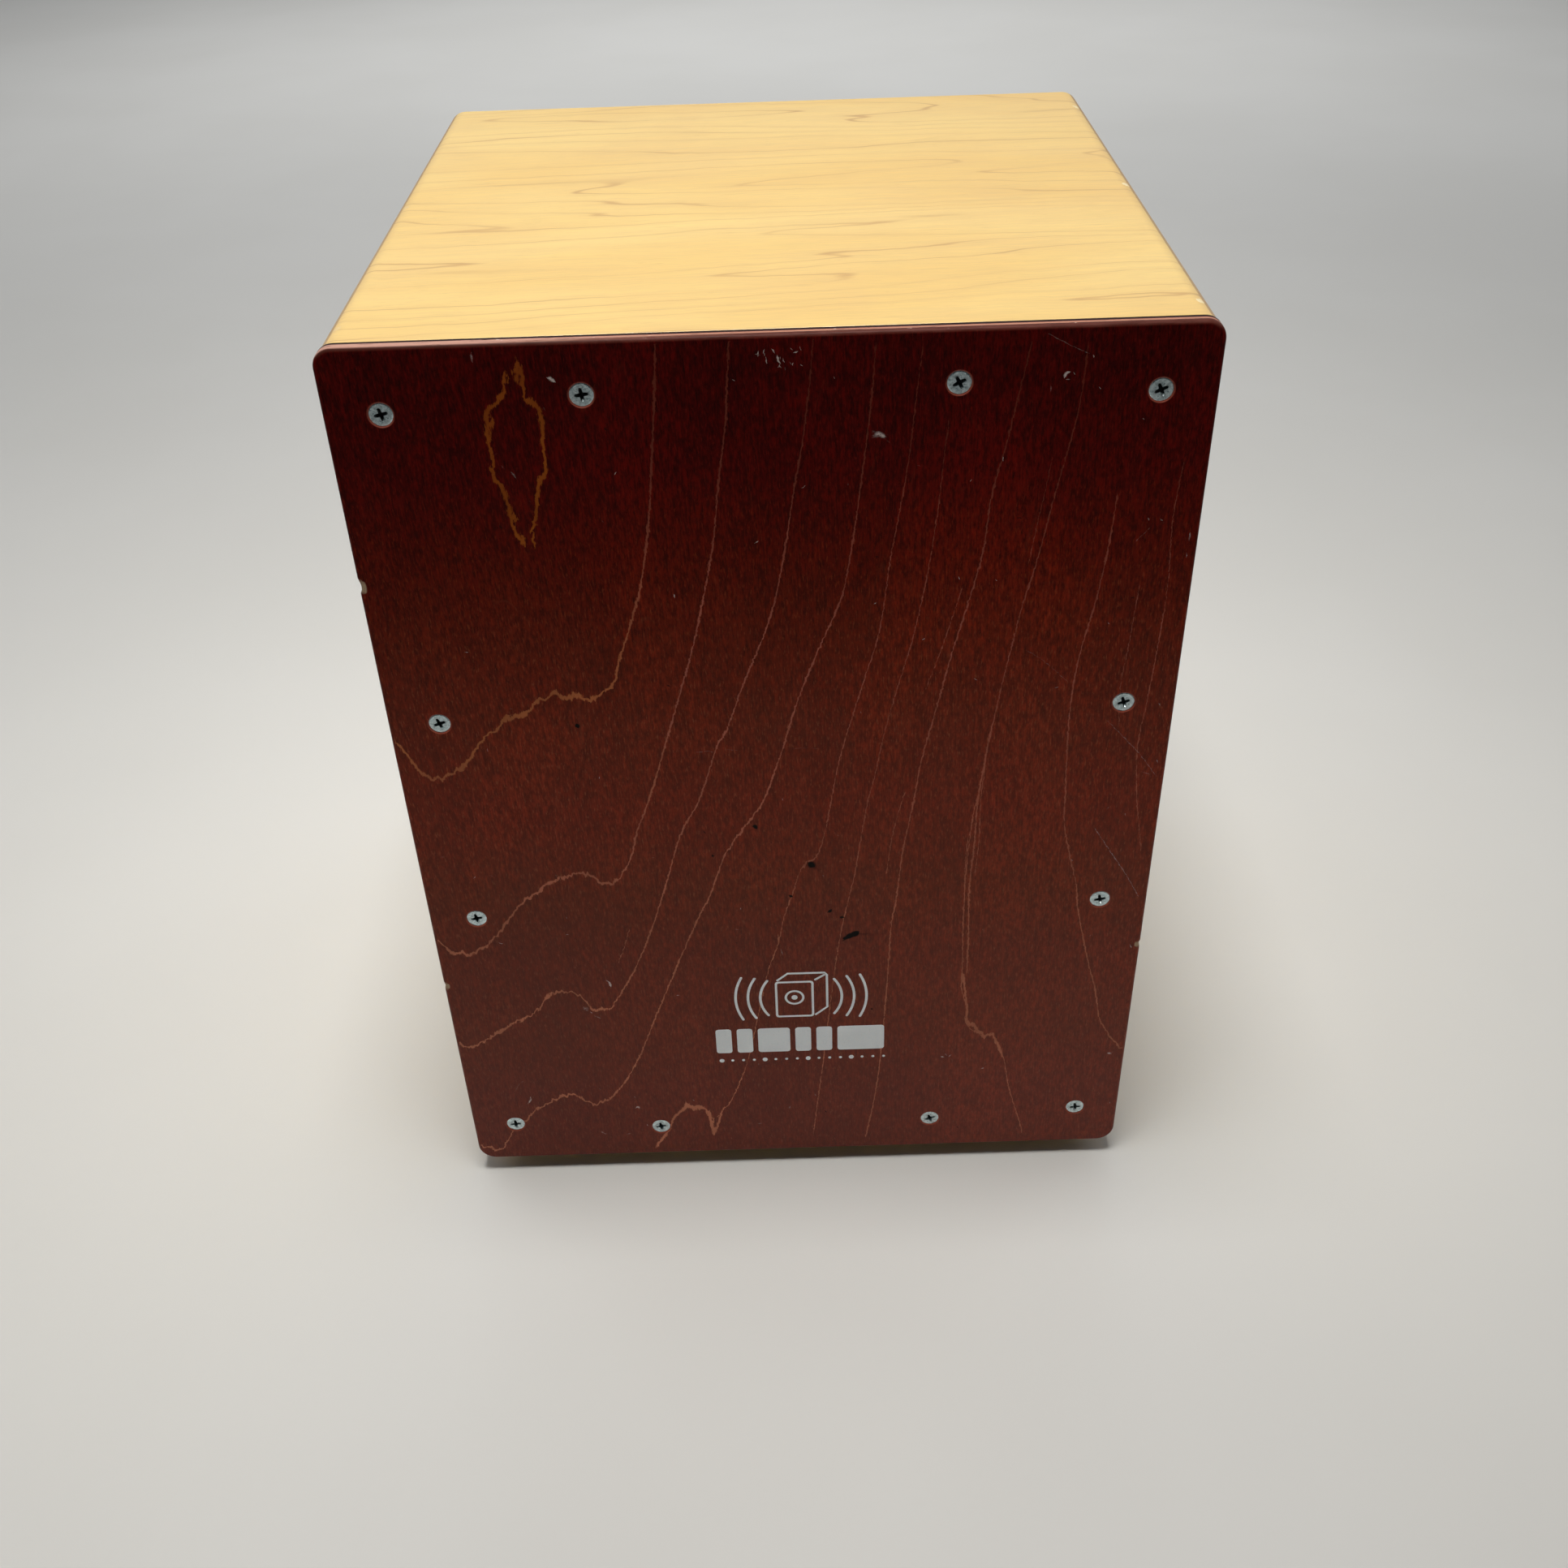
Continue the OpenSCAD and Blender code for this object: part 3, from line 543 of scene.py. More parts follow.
def cap(outer, holes=(), lines=(), keep=None):
    """Triangulates the region inside outer and outside the holes, with lines as extra edges.
    Returns 2D vertices, triangles counter-clockwise, and for every input loop its output indices."""
    verts, edges, loops = [], [], []
    for loop in [outer, *holes]:
        s = len(verts)
        verts += [Vector((p[0], p[1])) for p in loop]
        n = len(loop)
        edges += [(s + i, s + (i + 1) % n) for i in range(n)]
        loops.append((s, n))
    for line in lines:
        s = len(verts)
        verts += [Vector((p[0], p[1])) for p in line]
        edges += [(s + i, s + i + 1) for i in range(len(line) - 1)]
    ov, oe, of, orig_v, orig_e, orig_f = delaunay_2d_cdt(verts, edges, [], 0, 1e-6)
    back = {}
    for i, src in enumerate(orig_v):
        for s in src:
            back[s] = i
    maps = [[back[s + i] for i in range(n)] for s, n in loops]

    def in_poly(poly):
        a = np.array(poly)
        b = np.roll(a, -1, axis=0)

        def test(c):
            cond = (a[:, 1] > c[1]) != (b[:, 1] > c[1])
            xs = a[:, 0] + (c[1] - a[:, 1]) / np.where(cond, b[:, 1] - a[:, 1], 1.0) * (b[:, 0] - a[:, 0])
            return bool(np.count_nonzero(cond & (c[0] < xs)) % 2)
        return test
    inside = in_poly(outer)
    hole_tests = [(in_poly(h), min(p[0] for p in h), max(p[0] for p in h), min(p[1] for p in h), max(p[1] for p in h)) for h in holes]
    tris = []
    for t in of:
        p = [ov[i] for i in t]
        area = (p[1][0] - p[0][0]) * (p[2][1] - p[0][1]) - (p[2][0] - p[0][0]) * (p[1][1] - p[0][1])
        if abs(area) < 1e-9:
            continue
        c = (sum(q[0] for q in p) / 3, sum(q[1] for q in p) / 3)
        if not inside(c):
            continue
        if any(x0 <= c[0] <= x1 and z0 <= c[1] <= z1 and test(c) for test, x0, x1, z0, z1 in hole_tests):
            continue
        tris.append(tuple(t) if area > 0 else (t[0], t[2], t[1]))
    return [(p[0], p[1]) for p in ov], tris, maps


def circle(cx, cz, r, n, phase=0.0):
    return [(cx + r * math.cos(2 * math.pi * (i + phase) / n), cz + r * math.sin(2 * math.pi * (i + phase) / n)) for i in range(n)]


def add_wall(b, A, nA, B, nB, outward=True, mat=0):
    """Quads between two loops of vertices. A is nearer the front (-Y)."""
    n = len(A)
    for i in range(n):
        j = (i + 1) % n
        if outward:
            b.f([A[i], B[i], B[j], A[j]], [nA[i], nB[i], nB[j], nA[j]], mat)
        else:
            b.f([A[i], A[j], B[j], B[i]], [nA[i], nA[j], nB[j], nB[i]], mat)


def board(b, box, radii, y0, y1, r0, r1, seg=12, rseg=3, cuts=(1, 1, 1, 1), holes_front=(), lines=(), holes_back=(), attr=None, mats=(0, 0, 0), move=None):
    """A board with its outline in XZ, from y0 to y1, its front arris rounded by r0 and its rear arris by r1.
    Returns what is needed to join holes to it. attr(kind, x, y, z) gives the vertex attributes."""
    attr = attr or (lambda kind, x, y, z: {})
    move = move or (lambda kind, p, n, y: p)
    x0, z0, x1, z1 = box
    rings = []
    for k in range(rseg + 1):
        a = math.radians(90.0 * k / rseg)
        inset, y = r0 * (1 - math.sin(a)), y0 + r0 * (1 - math.cos(a))
        rings.append((inset, y, math.sin(a), -math.cos(a), "front"))
    for k in range(rseg + 1):
        a = math.radians(90.0 * k / rseg)
        inset, y = r1 * (1 - math.cos(a)), y1 - r1 * (1 - math.sin(a))
        rings.append((inset, y, math.cos(a), math.sin(a), "rear"))
    loops = []
    for inset, y, s, c, kind in rings:
        pts, nor = rounded_loop(x0, z0, x1, z1, radii, inset, seg, cuts)
        pts = [move(kind, p, n, y) for p, n in zip(pts, nor)]
        loops.append((pts, [(n[0] * s, c, n[1] * s) for n in nor], y, kind))
    ids = []
    front_pts = loops[0][0]
    ov, tris, maps = cap(front_pts, [h for h in holes_front], lines)
    vid = [b.v((p[0], y0, p[1]), **attr("face", p[0], y0, p[1])) for p in ov]
    for t in tris:
        b.f([vid[i] for i in t], (0.0, -1.0, 0.0), mats[0])
    ids.append([vid[i] for i in maps[0]])
    front_holes = [[vid[i] for i in mp] for mp in maps[1:]]
    for pts, nor, y, kind in loops[1:-1]:
        ids.append([b.v((p[0], y, p[1]), **attr("arris" if (y - y0 < r0 - 1e-6 or y1 - y < r1 - 1e-6) else "side", p[0], y, p[1])) for p in pts])
    back_pts = loops[-1][0]
    ov, tris, maps = cap(back_pts, [h for h in holes_back])
    vid = [b.v((p[0], y1, p[1]), **attr("back", p[0], y1, p[1])) for p in ov]
    for t in tris:
        b.f([vid[i] for i in reversed(t)], (0.0, 1.0, 0.0), mats[2])
    ids.append([vid[i] for i in maps[0]])
    back_holes = [[vid[i] for i in mp] for mp in maps[1:]]
    for i in range(len(ids) - 1):
        add_wall(b, ids[i], loops[i][1], ids[i + 1], loops[i + 1][1], True, mats[1])
    return front_holes, back_holes, ov


def catmull(points, step):
    """A smooth curve through the points, resampled about every step."""
    P = [np.array(p, float) for p in points]
    P = [2 * P[0] - P[1]] + P + [2 * P[-1] - P[-2]]
    out = []
    for i in range(1, len(P) - 2):
        n = max(1, int(round(np.linalg.norm(P[i + 1] - P[i]) / step)))
        for k in range(n):
            t = k / n
            a, b_, c, d = P[i - 1], P[i], P[i + 1], P[i + 2]
            out.append(0.5 * (2 * b_ + (c - a) * t + (2 * a - 5 * b_ + 4 * c - d) * t * t + (3 * b_ - a - 3 * c + d) * t ** 3))
    out.append(P[-2])
    return np.array(out)


# ------------------------------------------------------------------ the playing plate
# Growth-ring lines as they run over the plate: width in mm, then x and height above the plate's lower edge
GRAIN = [
    (1.05, [(-27, 299), (-27.3, 295), (-28, 287), (-29, 277), (-30.5, 264), (-32, 251), (-34, 238.5), (-36.5, 226.5), (-40.5, 214), (-44, 204.5), (-45.5, 198.5), (-47.5, 195), (-49.5, 193.5), (-52.5, 191.5), (-55, 193), (-59, 193), (-61.5, 193.5), (-62.5, 194.5), (-64.5, 193.5), (-67.5, 192), (-69.5, 190), (-73, 187.5), (-78, 185.5), (-80.5, 183), (-84, 180), (-87, 176.5), (-91.5, 170.5), (-94.5, 168.5), (-99.5, 166), (-104, 167.8), (-106, 171.5), (-107.8, 175.5), (-109.5, 179), (-112, 184)]),
    (0.9, [(-9.2, 299), (-9.5, 295), (-10.5, 284), (-11.5, 272.5), (-14, 257), (-16.5, 238.5), (-20, 222.5), (-23.5, 208), (-28, 193), (-32, 180), (-34.5, 172), (-37, 164), (-40.5, 153.5), (-44, 144.5), (-46.5, 135), (-49.5, 129), (-52, 125.5), (-55, 124.5), (-57.5, 125.5), (-59.5, 128), (-63, 128.5), (-68, 127.5), (-72.5, 125), (-78, 120.5), (-82, 117.5), (-86.5, 111), (-91, 105), (-94.5, 101), (-97.5, 98.5), (-102, 97.5), (-106, 98), (-109.3, 102.5), (-112, 106)]),
    (0.8, [(11.2, 299), (10.8, 294), (9.5, 281), (7.5, 266.5), (5, 253), (2.5, 237.5), (-0.5, 222.5), (-4, 211), (-10, 196), (-15.5, 180.5), (-19, 173.5), (-24.5, 156.5), (-28.5, 148.5), (-32, 140.5), (-36.5, 125), (-42.5, 106), (-48.5, 90.5), (-52.5, 82.5), (-55.5, 77), (-58.5, 72), (-61.5, 71), (-64.5, 71), (-66.5, 75.5), (-69.5, 79), (-73, 80), (-76.5, 79.5), (-79.5, 76.5), (-82, 72), (-87.5, 68), (-94, 64), (-99.5, 60), (-104, 56.5), (-107, 56), (-109.3, 57.5), (-112.5, 60)]),
    (0.8, [(26, 294), (25, 279), (23, 260.5), (21, 244.5), (18.5, 228), (16.5, 220), (10.5, 205), (4, 187), (-0.5, 171), (-6, 154.5), (-10, 148), (-17.5, 136), (-20, 130), (-24, 118), (-28.5, 108), (-36, 89), (-44, 68), (-51.5, 48), (-58, 35), (-62.5, 29.5), (-65.5, 27.5), (-68.5, 26), (-71, 28.5), (-75, 31.5), (-78.5, 31), (-83.5, 28), (-88.5, 24.5), (-92, 20), (-95.5, 16.5), (-98.5, 12.5), (-100.5, 8.5), (-103, 5.5), (-107, 5.5), (-112, 8.5)]),
    (0.6, [(37.5, 293), (36, 278.5), (34.5, 262), (32.5, 248), (30, 232), (27.5, 211.5), (23.5, 196), (20.5, 185), (16, 167), (12, 143), (9, 132.5), (4.5, 128), (1.5, 118), (-1.5, 108), (-3.5, 97.5), (-7, 86), (-11, 66), (-15, 46), (-18.5, 34.5), (-21.5, 26.5), (-25, 21), (-28, 15.5)]),
    (1.4, [(-24.5, 23.5), (-26, 17), (-28.5, 10), (-29, 17), (-31, 22.5), (-34, 22.5), (-37, 24), (-38.5, 22), (-41.5, 18.5), (-44, 12), (-47.5, 6), (-50, 2.5)]),
    (0.6, [(44.5, 274), (43.5, 263), (42, 244.5), (40, 228), (36.5, 208), (34.5, 200), (29.5, 179), (26, 159.5), (24.5, 153), (22, 135.5), (20.5, 124.5), (17, 106), (14.5, 88), (12, 64), (10, 43.5), (8.5, 30), (6, 6.5)]),
    (0.8, [(64, 293), (61.5, 279), (59, 265), (56, 250.5), (54.5, 234.5), (51.5, 220), (47.5, 203.5), (44, 186.5), (40, 167.5), (38, 152.5), (37, 146), (35, 132.5), (33.5, 115.5), (32, 104), (31.5, 91), (30.5, 69), (29.5, 51.5), (28.5, 36.5), (27, 23), (24, 3)]),
    (0.7, [(77.5, 292), (76.5, 274), (74, 259.5), (71.5, 246), (69, 231.5), (65.5, 215.5), (63.5, 203), (61.5, 190.5), (59, 172.5), (57, 155), (55.5, 144), (54.5, 123.5), (54.5, 103), (55, 84.5), (55, 76), (57, 67.5), (57.5, 59), (60.5, 56), (63, 53.5), (66.5, 53.5), (68, 49), (70.5, 42.5), (73, 28.5), (77.5, 11.5), (79.5, 3)]),
    (0.9, [(60, 181), (58, 164), (56.8, 150), (56.6, 136), (55.8, 118), (56.3, 100), (56.5, 80)]),
    (0.8, [(88.5, 252), (87.5, 235), (85.5, 217.5), (82.5, 200), (81.5, 183), (82, 164.5), (82.5, 153.5), (83, 143), (85.5, 130.5), (88.5, 118.5), (90, 108), (92.5, 96.5), (95.5, 84), (98.5, 73), (101, 60), (104.5, 53), (109, 46.5), (112.5, 45.5)]),
    (0.6, [(104.5, 260), (103.5, 242), (104.5, 223), (104, 204), (103, 185), (102, 170), (103.5, 152.5), (105.5, 140.5), (107.5, 128.5)]),
    (0.5, [(97, 225), (96, 205), (95, 190), (96, 176)]),
    (0.5, [(50, 226), (47, 214), (44, 203), (40, 190)]),
    (0.5, [(71, 262), (69.5, 250), (68, 240), (66.5, 228)]),
    (0.5, [(36, 158), (33.5, 148), (31.5, 137), (30, 122)]),
    (0.5, [(-49, 108), (-52, 98), (-55, 90)]),
    (0.5, [(58.6, 168), (57.8, 152), (57.9, 136), (57.2, 121)]),
    (0.5, [(54.7, 141), (54.1, 126), (54.7, 110)]),
    (1.3, [(55.1, 84), (56.3, 74), (57.3, 66), (57.2, 60.4), (59.0, 59.4), (61.0, 56.6), (63.2, 54.3), (65.9, 55.0), (67.0, 52.0), (69.0, 47.0), (70.2, 42.0)]),
    (1.4, [(-30.6, 24), (-30.3, 21), (-30.4, 17.5)]),
    (1.2, [(-29.4, 23.4), (-29.3, 16), (-29.1, 10.2)]),
    (0.9, [(-28.2, 20), (-28.2, 16), (-28.5, 13)]),
    (0.8, [(-26.9, 20), (-26.6, 17.5), (-26.9, 15.6)]),
    (0.7, [(-31.8, 22.6), (-31.9, 20.2), (-31.8, 18.6)]),
    (0.5, [(-31.8, 11.2), (-31.9, 8.6), (-32.1, 7.0)]),
    (0.6, [(-39.4, 23.6), (-38.8, 21.2), (-38.9, 19.6)]),
    (0.8, [(-3.3, 103.4), (-3.5, 100), (-3.4, 97.0)]),
]
# The spindle-shaped figure near the upper left corner: wider, softer lines
SPINDLE = [
    (2.2, [(-61.0, 292.6), (-61.3, 289.4), (-61.6, 286.0), (-61.2, 283.0)]),
    (1.6, [(-64.4, 289.8), (-64.6, 287.0), (-65.0, 284.0)]),
    (1.5, [(-60.6, 291.0), (-60.3, 286.5), (-60.5, 282.6), (-60.2, 280.2), (-58.6, 279.4), (-57.4, 277.8), (-57.0, 274.0), (-57.4, 269.0), (-57.4, 264.5), (-57.7, 261.0), (-59.4, 258.8), (-60.4, 255.0), (-61.3, 250.5), (-62.2, 246.6), (-63.4, 244.2), (-64.0, 241.8)]),
    (1.6, [(-64.2, 288.6), (-65.0, 285.6), (-65.2, 283.0), (-66.8, 280.8), (-68.6, 279.2), (-70.2, 277.4), (-70.6, 273.0), (-70.8, 268.6), (-70.4, 264.6), (-70.9, 260.6), (-69.6, 257.8), (-68.6, 254.6), (-68.0, 250.0), (-67.9, 246.4), (-66.8, 243.0), (-65.8, 240.2), (-64.9, 238.6)]),
    (1.3, [(-63.6, 288.4), (-64.0, 285.6), (-64.2, 283.6)]),
    (1.0, [(-62.6, 290.0), (-62.9, 287.4), (-62.6, 285.4)]),
    (1.3, [(-70.0, 279.4), (-70.9, 277.0), (-71.0, 273.6)]),
    (1.2, [(-69.4, 278.2), (-69.2, 275.0), (-69.8, 271.4)]),
    (0.8, [(-71.5, 265.0), (-71.6, 262.0), (-70.9, 260.0)]),
    (1.3, [(-67.4, 252.0), (-67.0, 248.6), (-67.2, 245.2)]),
    (2.0, [(-66.4, 245.6), (-65.6, 242.0), (-65.3, 238.6)]),
    (1.1, [(-68.3, 250.0), (-67.9, 246.0), (-67.2, 243.0)]),
    (1.2, [(-62.7, 246.0), (-63.0, 241.6), (-62.9, 238.0)]),
    (0.9, [(-61.6, 253.2), (-61.2, 249.6), (-61.9, 246.4)]),
    (0.8, [(-56.7, 276.8), (-56.6, 274.4), (-56.9, 272.0)]),
    (0.6, [(-65.6, 247.4), (-65.2, 245.8)]),
]
# Scuffs (above zero) and dark spots (below zero): strength, width, points
MARKS = [
    (1.0, 0.75, [(-54.4, 286.0), (-53.4, 285.5), (-52.4, 284.8)]),
    (0.35, 0.5, [(-71.8, 293.0), (-72.0, 291.8), (-71.9, 290.4)]),
    (0.25, 0.4, [(-68.6, 263.2), (-67.8, 262.2)]),
    (0.28, 0.45, [(-66.6, 261.6), (-65.8, 260.6), (-65.2, 259.4)]),
    (0.5, 0.45, [(-2.6, 291.0), (-2.8, 289.6)]),
    (0.55, 0.5, [(-0.8, 289.4), (-0.7, 287.8)]),
    (0.5, 0.6, [(0.6, 291.4), (1.4, 290.4)]),
    (0.55, 0.45, [(2.0, 289.8), (2.1, 288.4), (2.7, 287.6)]),
    (0.5, 0.5, [(2.4, 287.2), (2.8, 286.6)]),
    (0.45, 0.45, [(3.3, 289.0), (3.6, 287.9)]),
    (0.45, 0.4, [(5.2, 291.4), (5.7, 291.0)]),
    (0.55, 0.5, [(5.9, 290.3), (6.9, 290.6)]),
    (0.4, 0.45, [(4.9, 288.0), (5.3, 287.3)]),
    (0.5, 0.45, [(7.6, 287.2), (8.0, 286.9)]),
    (0.35, 0.4, [(-3.4, 290.2), (-2.2, 290.0)]),
    (0.5, 0.6, [(-9.2, 283.9), (-8.7, 283.6)]),
    (0.6, 0.5, [(15.7, 283.9), (15.8, 283.4)]),
    (0.6, 0.9, [(25.8, 268.4), (27.2, 268.3), (28.6, 267.6)]),
    (0.7, 0.6, [(72.2, 281.6), (72.5, 282.8), (73.6, 283.2)]),
    (0.6, 0.5, [(72.7, 281.1), (73.5, 281.3)]),
    (0.8, 0.45, [(74.4, 283.0), (74.7, 282.5)]),
    (0.28, 0.5, [(69.0, 279.9), (69.1, 278.0)]),
    (0.9, 0.5, [(81.0, 279.0), (81.3, 278.5)]),
    (0.6, 0.45, [(78.8, 287.2), (79.0, 286.6)]),
    (0.26, 0.26, [(67.4, 293.0), (71.0, 291.0), (74.5, 289.2), (77.8, 287.6)]),
    (0.30, 0.26, [(92.4, 179.0), (98, 172.6), (103.4, 166.2), (108.6, 158.6)]),
    (0.30, 0.24, [(104.0, 160.6), (107.0, 159.2)]),
    (0.38, 0.28, [(92.3, 140.1), (98, 130.6), (103.6, 121.4), (108.4, 112.3)]),
    (0.22, 0.24, [(67.8, 203.4), (73, 199.6), (80.2, 192.4)]),
    (0.22, 0.24, [(94.2, 235.6), (98.2, 240.2)]),
    (0.5, 0.5, [(97.0, 242.6), (97.4, 242.0)]),
    (0.55, 0.5, [(100.3, 242.2), (100.8, 241.7)]),
    (0.7, 0.45, [(89.5, 211.3), (89.8, 210.9)]),
    (0.6, 0.45, [(100.8, 145.2), (101.0, 144.6)]),
    (0.5, 0.5, [(108.0, 164.6), (108.5, 163.6)]),
    (0.4, 0.5, [(106.4, 184.4), (106.8, 183.6)]),
    (0.4, 0.45, [(108.5, 238.0), (108.6, 235.6)]),
    (0.4, 0.45, [(108.4, 232.0), (108.4, 230.6)]),
    (0.25, 0.3, [(-25.0, 172.4), (-21.6, 172.7), (-19.6, 172.3)]),
    (0.2, 0.3, [(-16.4, 173.2), (-12.8, 172.6)]),
    (0.18, 0.3, [(1.8, 172.5), (6, 172.8), (11, 172.3)]),
    (0.6, 0.45, [(48.4, 227.0), (48.6, 226.2)]),
    (0.6, 0.45, [(58.3, 225.8), (58.5, 225.4)]),
    (0.55, 0.5, [(10.8, 125.0), (11.1, 124.7)]),
    (0.3, 0.35, [(-2.7, 95.4), (-2.2, 92.4)]),
    (0.18, 0.5, [(14.2, 141.6), (15.6, 140.4), (17.0, 139.6)]),
    (0.15, 0.6, [(14.6, 144.6), (16.6, 145.0)]),
    (0.25, 0.6, [(-17.2, 104.2), (-15.4, 104.0)]),
    (0.32, 1.8, [(-67.4, 72.4), (-66.8, 71.6), (-66.4, 71.0)]),
    (0.5, 0.5, [(-65.4, 70.2), (-64.8, 69.6)]),
    (0.35, 0.6, [(-64.4, 68.6), (-62.2, 67.0)]),
    (0.6, 0.6, [(-59.0, 84.2), (-58.0, 82.8), (-57.6, 81.0)]),
    (0.4, 0.45, [(-89.8, 31.0), (-89.9, 29.4), (-91.0, 27.4)]),
    (0.22, 0.4, [(-94.4, 34.0), (-93.0, 37.0), (-91.0, 38.9)]),
    (0.6, 0.6, [(-54.6, 23.6), (-53.7, 24.3), (-53.2, 23.4)]),
    (0.5, 0.5, [(-54.6, 29.4), (-54.4, 29.0)]),
    (0.7, 0.45, [(-51.3, 15.2), (-51.1, 14.4)]),
    (0.6, 0.5, [(-34.6, 27.0), (-34.4, 26.4)]),
    (0.3, 0.9, [(-67.8, 12.6), (-66.6, 11.4), (-65.2, 10.8)]),
    (0.25, 0.7, [(-59.0, 10.4), (-57.0, 11.0)]),
    (0.4, 0.5, [(-22.6, 7.1), (-22.3, 6.6)]),
    (0.25, 0.7, [(-13.4, 13.6), (-11.4, 14.2)]),
    (0.35, 0.5, [(-11.8, 44.0), (-11.6, 42.8)]),
    (0.75, 0.6, [(49.4, 44.4), (50.4, 44.0)]),
    (0.7, 0.5, [(50.7, 45.6), (51.4, 44.9)]),
    (0.5, 0.5, [(52.0, 44.2), (52.8, 45.0)]),
    (0.6, 0.5, [(63.2, 37.8), (64.0, 38.3)]),
    (0.6, 0.6, [(105.2, 43.6), (106.6, 43.2)]),
    (0.35, 0.8, [(7.0, 28.2), (7.2, 27.0)]),
    (0.3, 0.8, [(-2.0, 21.0), (-1.4, 22.4)]),
    (0.12, 0.3, [(12.0, 30.0), (16.0, 25.0), (22.0, 21.0)]),
    (0.5, 0.6, [(107.8, 92.6), (108.3, 91.0)]),
    (0.4, 0.5, [(108.2, 19.8), (108.4, 18.6)]),
    (-1.0, 1.5, [(16.9, 98.7), (18.4, 99.5), (20.2, 100.5), (22.0, 101.5)]),
    (-0.55, 1.6, [(6.7, 130.0), (7.6, 129.3), (8.2, 128.6)]),
    (-0.65, 1.4, [(0.4, 117.4), (1.4, 116.8)]),
    (-0.8, 0.9, [(12.2, 109.9), (13.0, 110.4), (13.4, 111.2)]),
    (-0.8, 0.9, [(16.0, 107.9), (17.2, 107.6)]),
    (-0.8, 0.9, [(-22.2, 134.5), (-21.9, 133.6)]),
    (-0.8, 0.8, [(-9.6, 145.3), (-8.9, 144.8), (-8.5, 143.8)]),
    (-0.6, 0.6, [(-4.6, 138.6), (-4.2, 138.2)]),
    (-0.6, 0.8, [(-16.8, 98.6), (-16.2, 98.2)]),
    (-0.6, 0.9, [(-58.0, 183.6), (-57.7, 182.2)]),
    (-0.7, 0.9, [(25.8, 67.8), (26.4, 67.4)]),
    (-0.6, 0.8, [(31.2, 67.4), (31.7, 67.1)]),
]
# Chips in the plate's edges: side, height above the lower edge, half length, depth
CHIPS = [("L", 229.5, 1.8, 0.55), ("L", 83.6, 1.0, 0.3), ("R", 92.6, 1.0, 0.3)]

screw_xz = [(s * x, z) for s in (-1, 1) for x, z in ((96.5, 277.7), (46.5, 281.2), (96.5, 185.0), (96.5, 111.8), (96.5, 17.3), (46.5, 13.8))]
SCREW_ANGLE = [14, 8, 20, 12, 4, 10, 24, 27, 18, 12, 6, 20]
PLATE_FACE = P_LO[1]
ARRIS = 1.1


def specks():
    """Small scuffs in a cluster under the middle of the top edge, and fine specks all over the plate."""
    rng = random.Random(21)
    out = []
    for _ in range(7):
        x, z = rng.uniform(-3.0, 8.0), rng.uniform(286.0, 292.0)
        a, r = rng.uniform(1.0, 2.1), rng.uniform(0.25, 0.55)
        out.append((rng.uniform(0.35, 0.75), rng.uniform(0.28, 0.5), [(x - r * math.cos(a), z - r * math.sin(a)), (x, z + rng.uniform(-0.2, 0.2)), (x + r * math.cos(a), z + r * math.sin(a))]))
    for _ in range(70):
        x, z = rng.uniform(-105, 105), rng.uniform(6, 288)
        if -30 < x < 36 and 40 < z < 94:
            continue
        a, r = rng.uniform(0, math.pi), rng.uniform(0.2, 0.6)
        k = rng.choice((-0.55, 0.3, 0.45, 0.6))
        out.append((k, rng.uniform(0.25, 0.42), [(x - r * math.cos(a), z - r * math.sin(a)), (x + r * math.cos(a), z + r * math.sin(a))]))
    return out


def ribbons(defs, step=1.3, seed=3, jag=0.12, widen=1.0, fibre=0.0, taper=3.0):
    """Edge lines of thin ribbons for the triangulation, and their centrelines as segments with half widths."""
    rng = random.Random(seed)
    lines, segs = [], []
    for width, pts in defs:
        c = catmull(pts, step)
        n = len(c)
        # a slow and a fast waver
        ph = [rng.uniform(0, 6.28) for _ in range(4)]
        t = np.gradient(c, axis=0)
        t = t / (np.linalg.norm(t, axis=1)[:, None] + 1e-9)
        nr = np.stack([-t[:, 1], t[:, 0]], 1)
        s = np.concatenate([[0], np.cumsum(np.linalg.norm(np.diff(c, axis=0), axis=1))])
        off = jag * (np.sin(s * 1.9 + ph[0]) * 0.5 + np.sin(s * 4.3 + ph[1]) * 0.35 + np.array([rng.uniform(-1, 1) for _ in range(n)]) * 0.5)
        c = c + nr * off[:, None]
        # where a line crosses the fibres it steps up and down along them
        c[:, 1] += fibre * np.abs(t[:, 0]) ** 1.2 * np.array([rng.choice((-1.0, -0.4, 0.3, 0.9)) * rng.uniform(0.4, 1) for _ in range(n)])
        hw = widen * width / 2 * (1.0 + 0.35 * fibre * np.abs(t[:, 0]) ** 2) * (1.0 + 0.22 * np.sin(s * 0.31 + ph[2]) + 0.18 * np.sin(s * 1.1 + ph[3]) + 0.22 * np.array([rng.uniform(-1, 1) for _ in range(n)]))
        end = np.minimum(np.minimum(s, s[-1] - s) / taper, 1.0)
        hw = np.maximum(hw * (0.15 + 0.85 * end), 0.08)
        a, b_ = c + nr * hw[:, None], c - nr * hw[:, None]
        lines.append((c, a, b_))
        segs.append((c, hw, end))
    return lines, segs


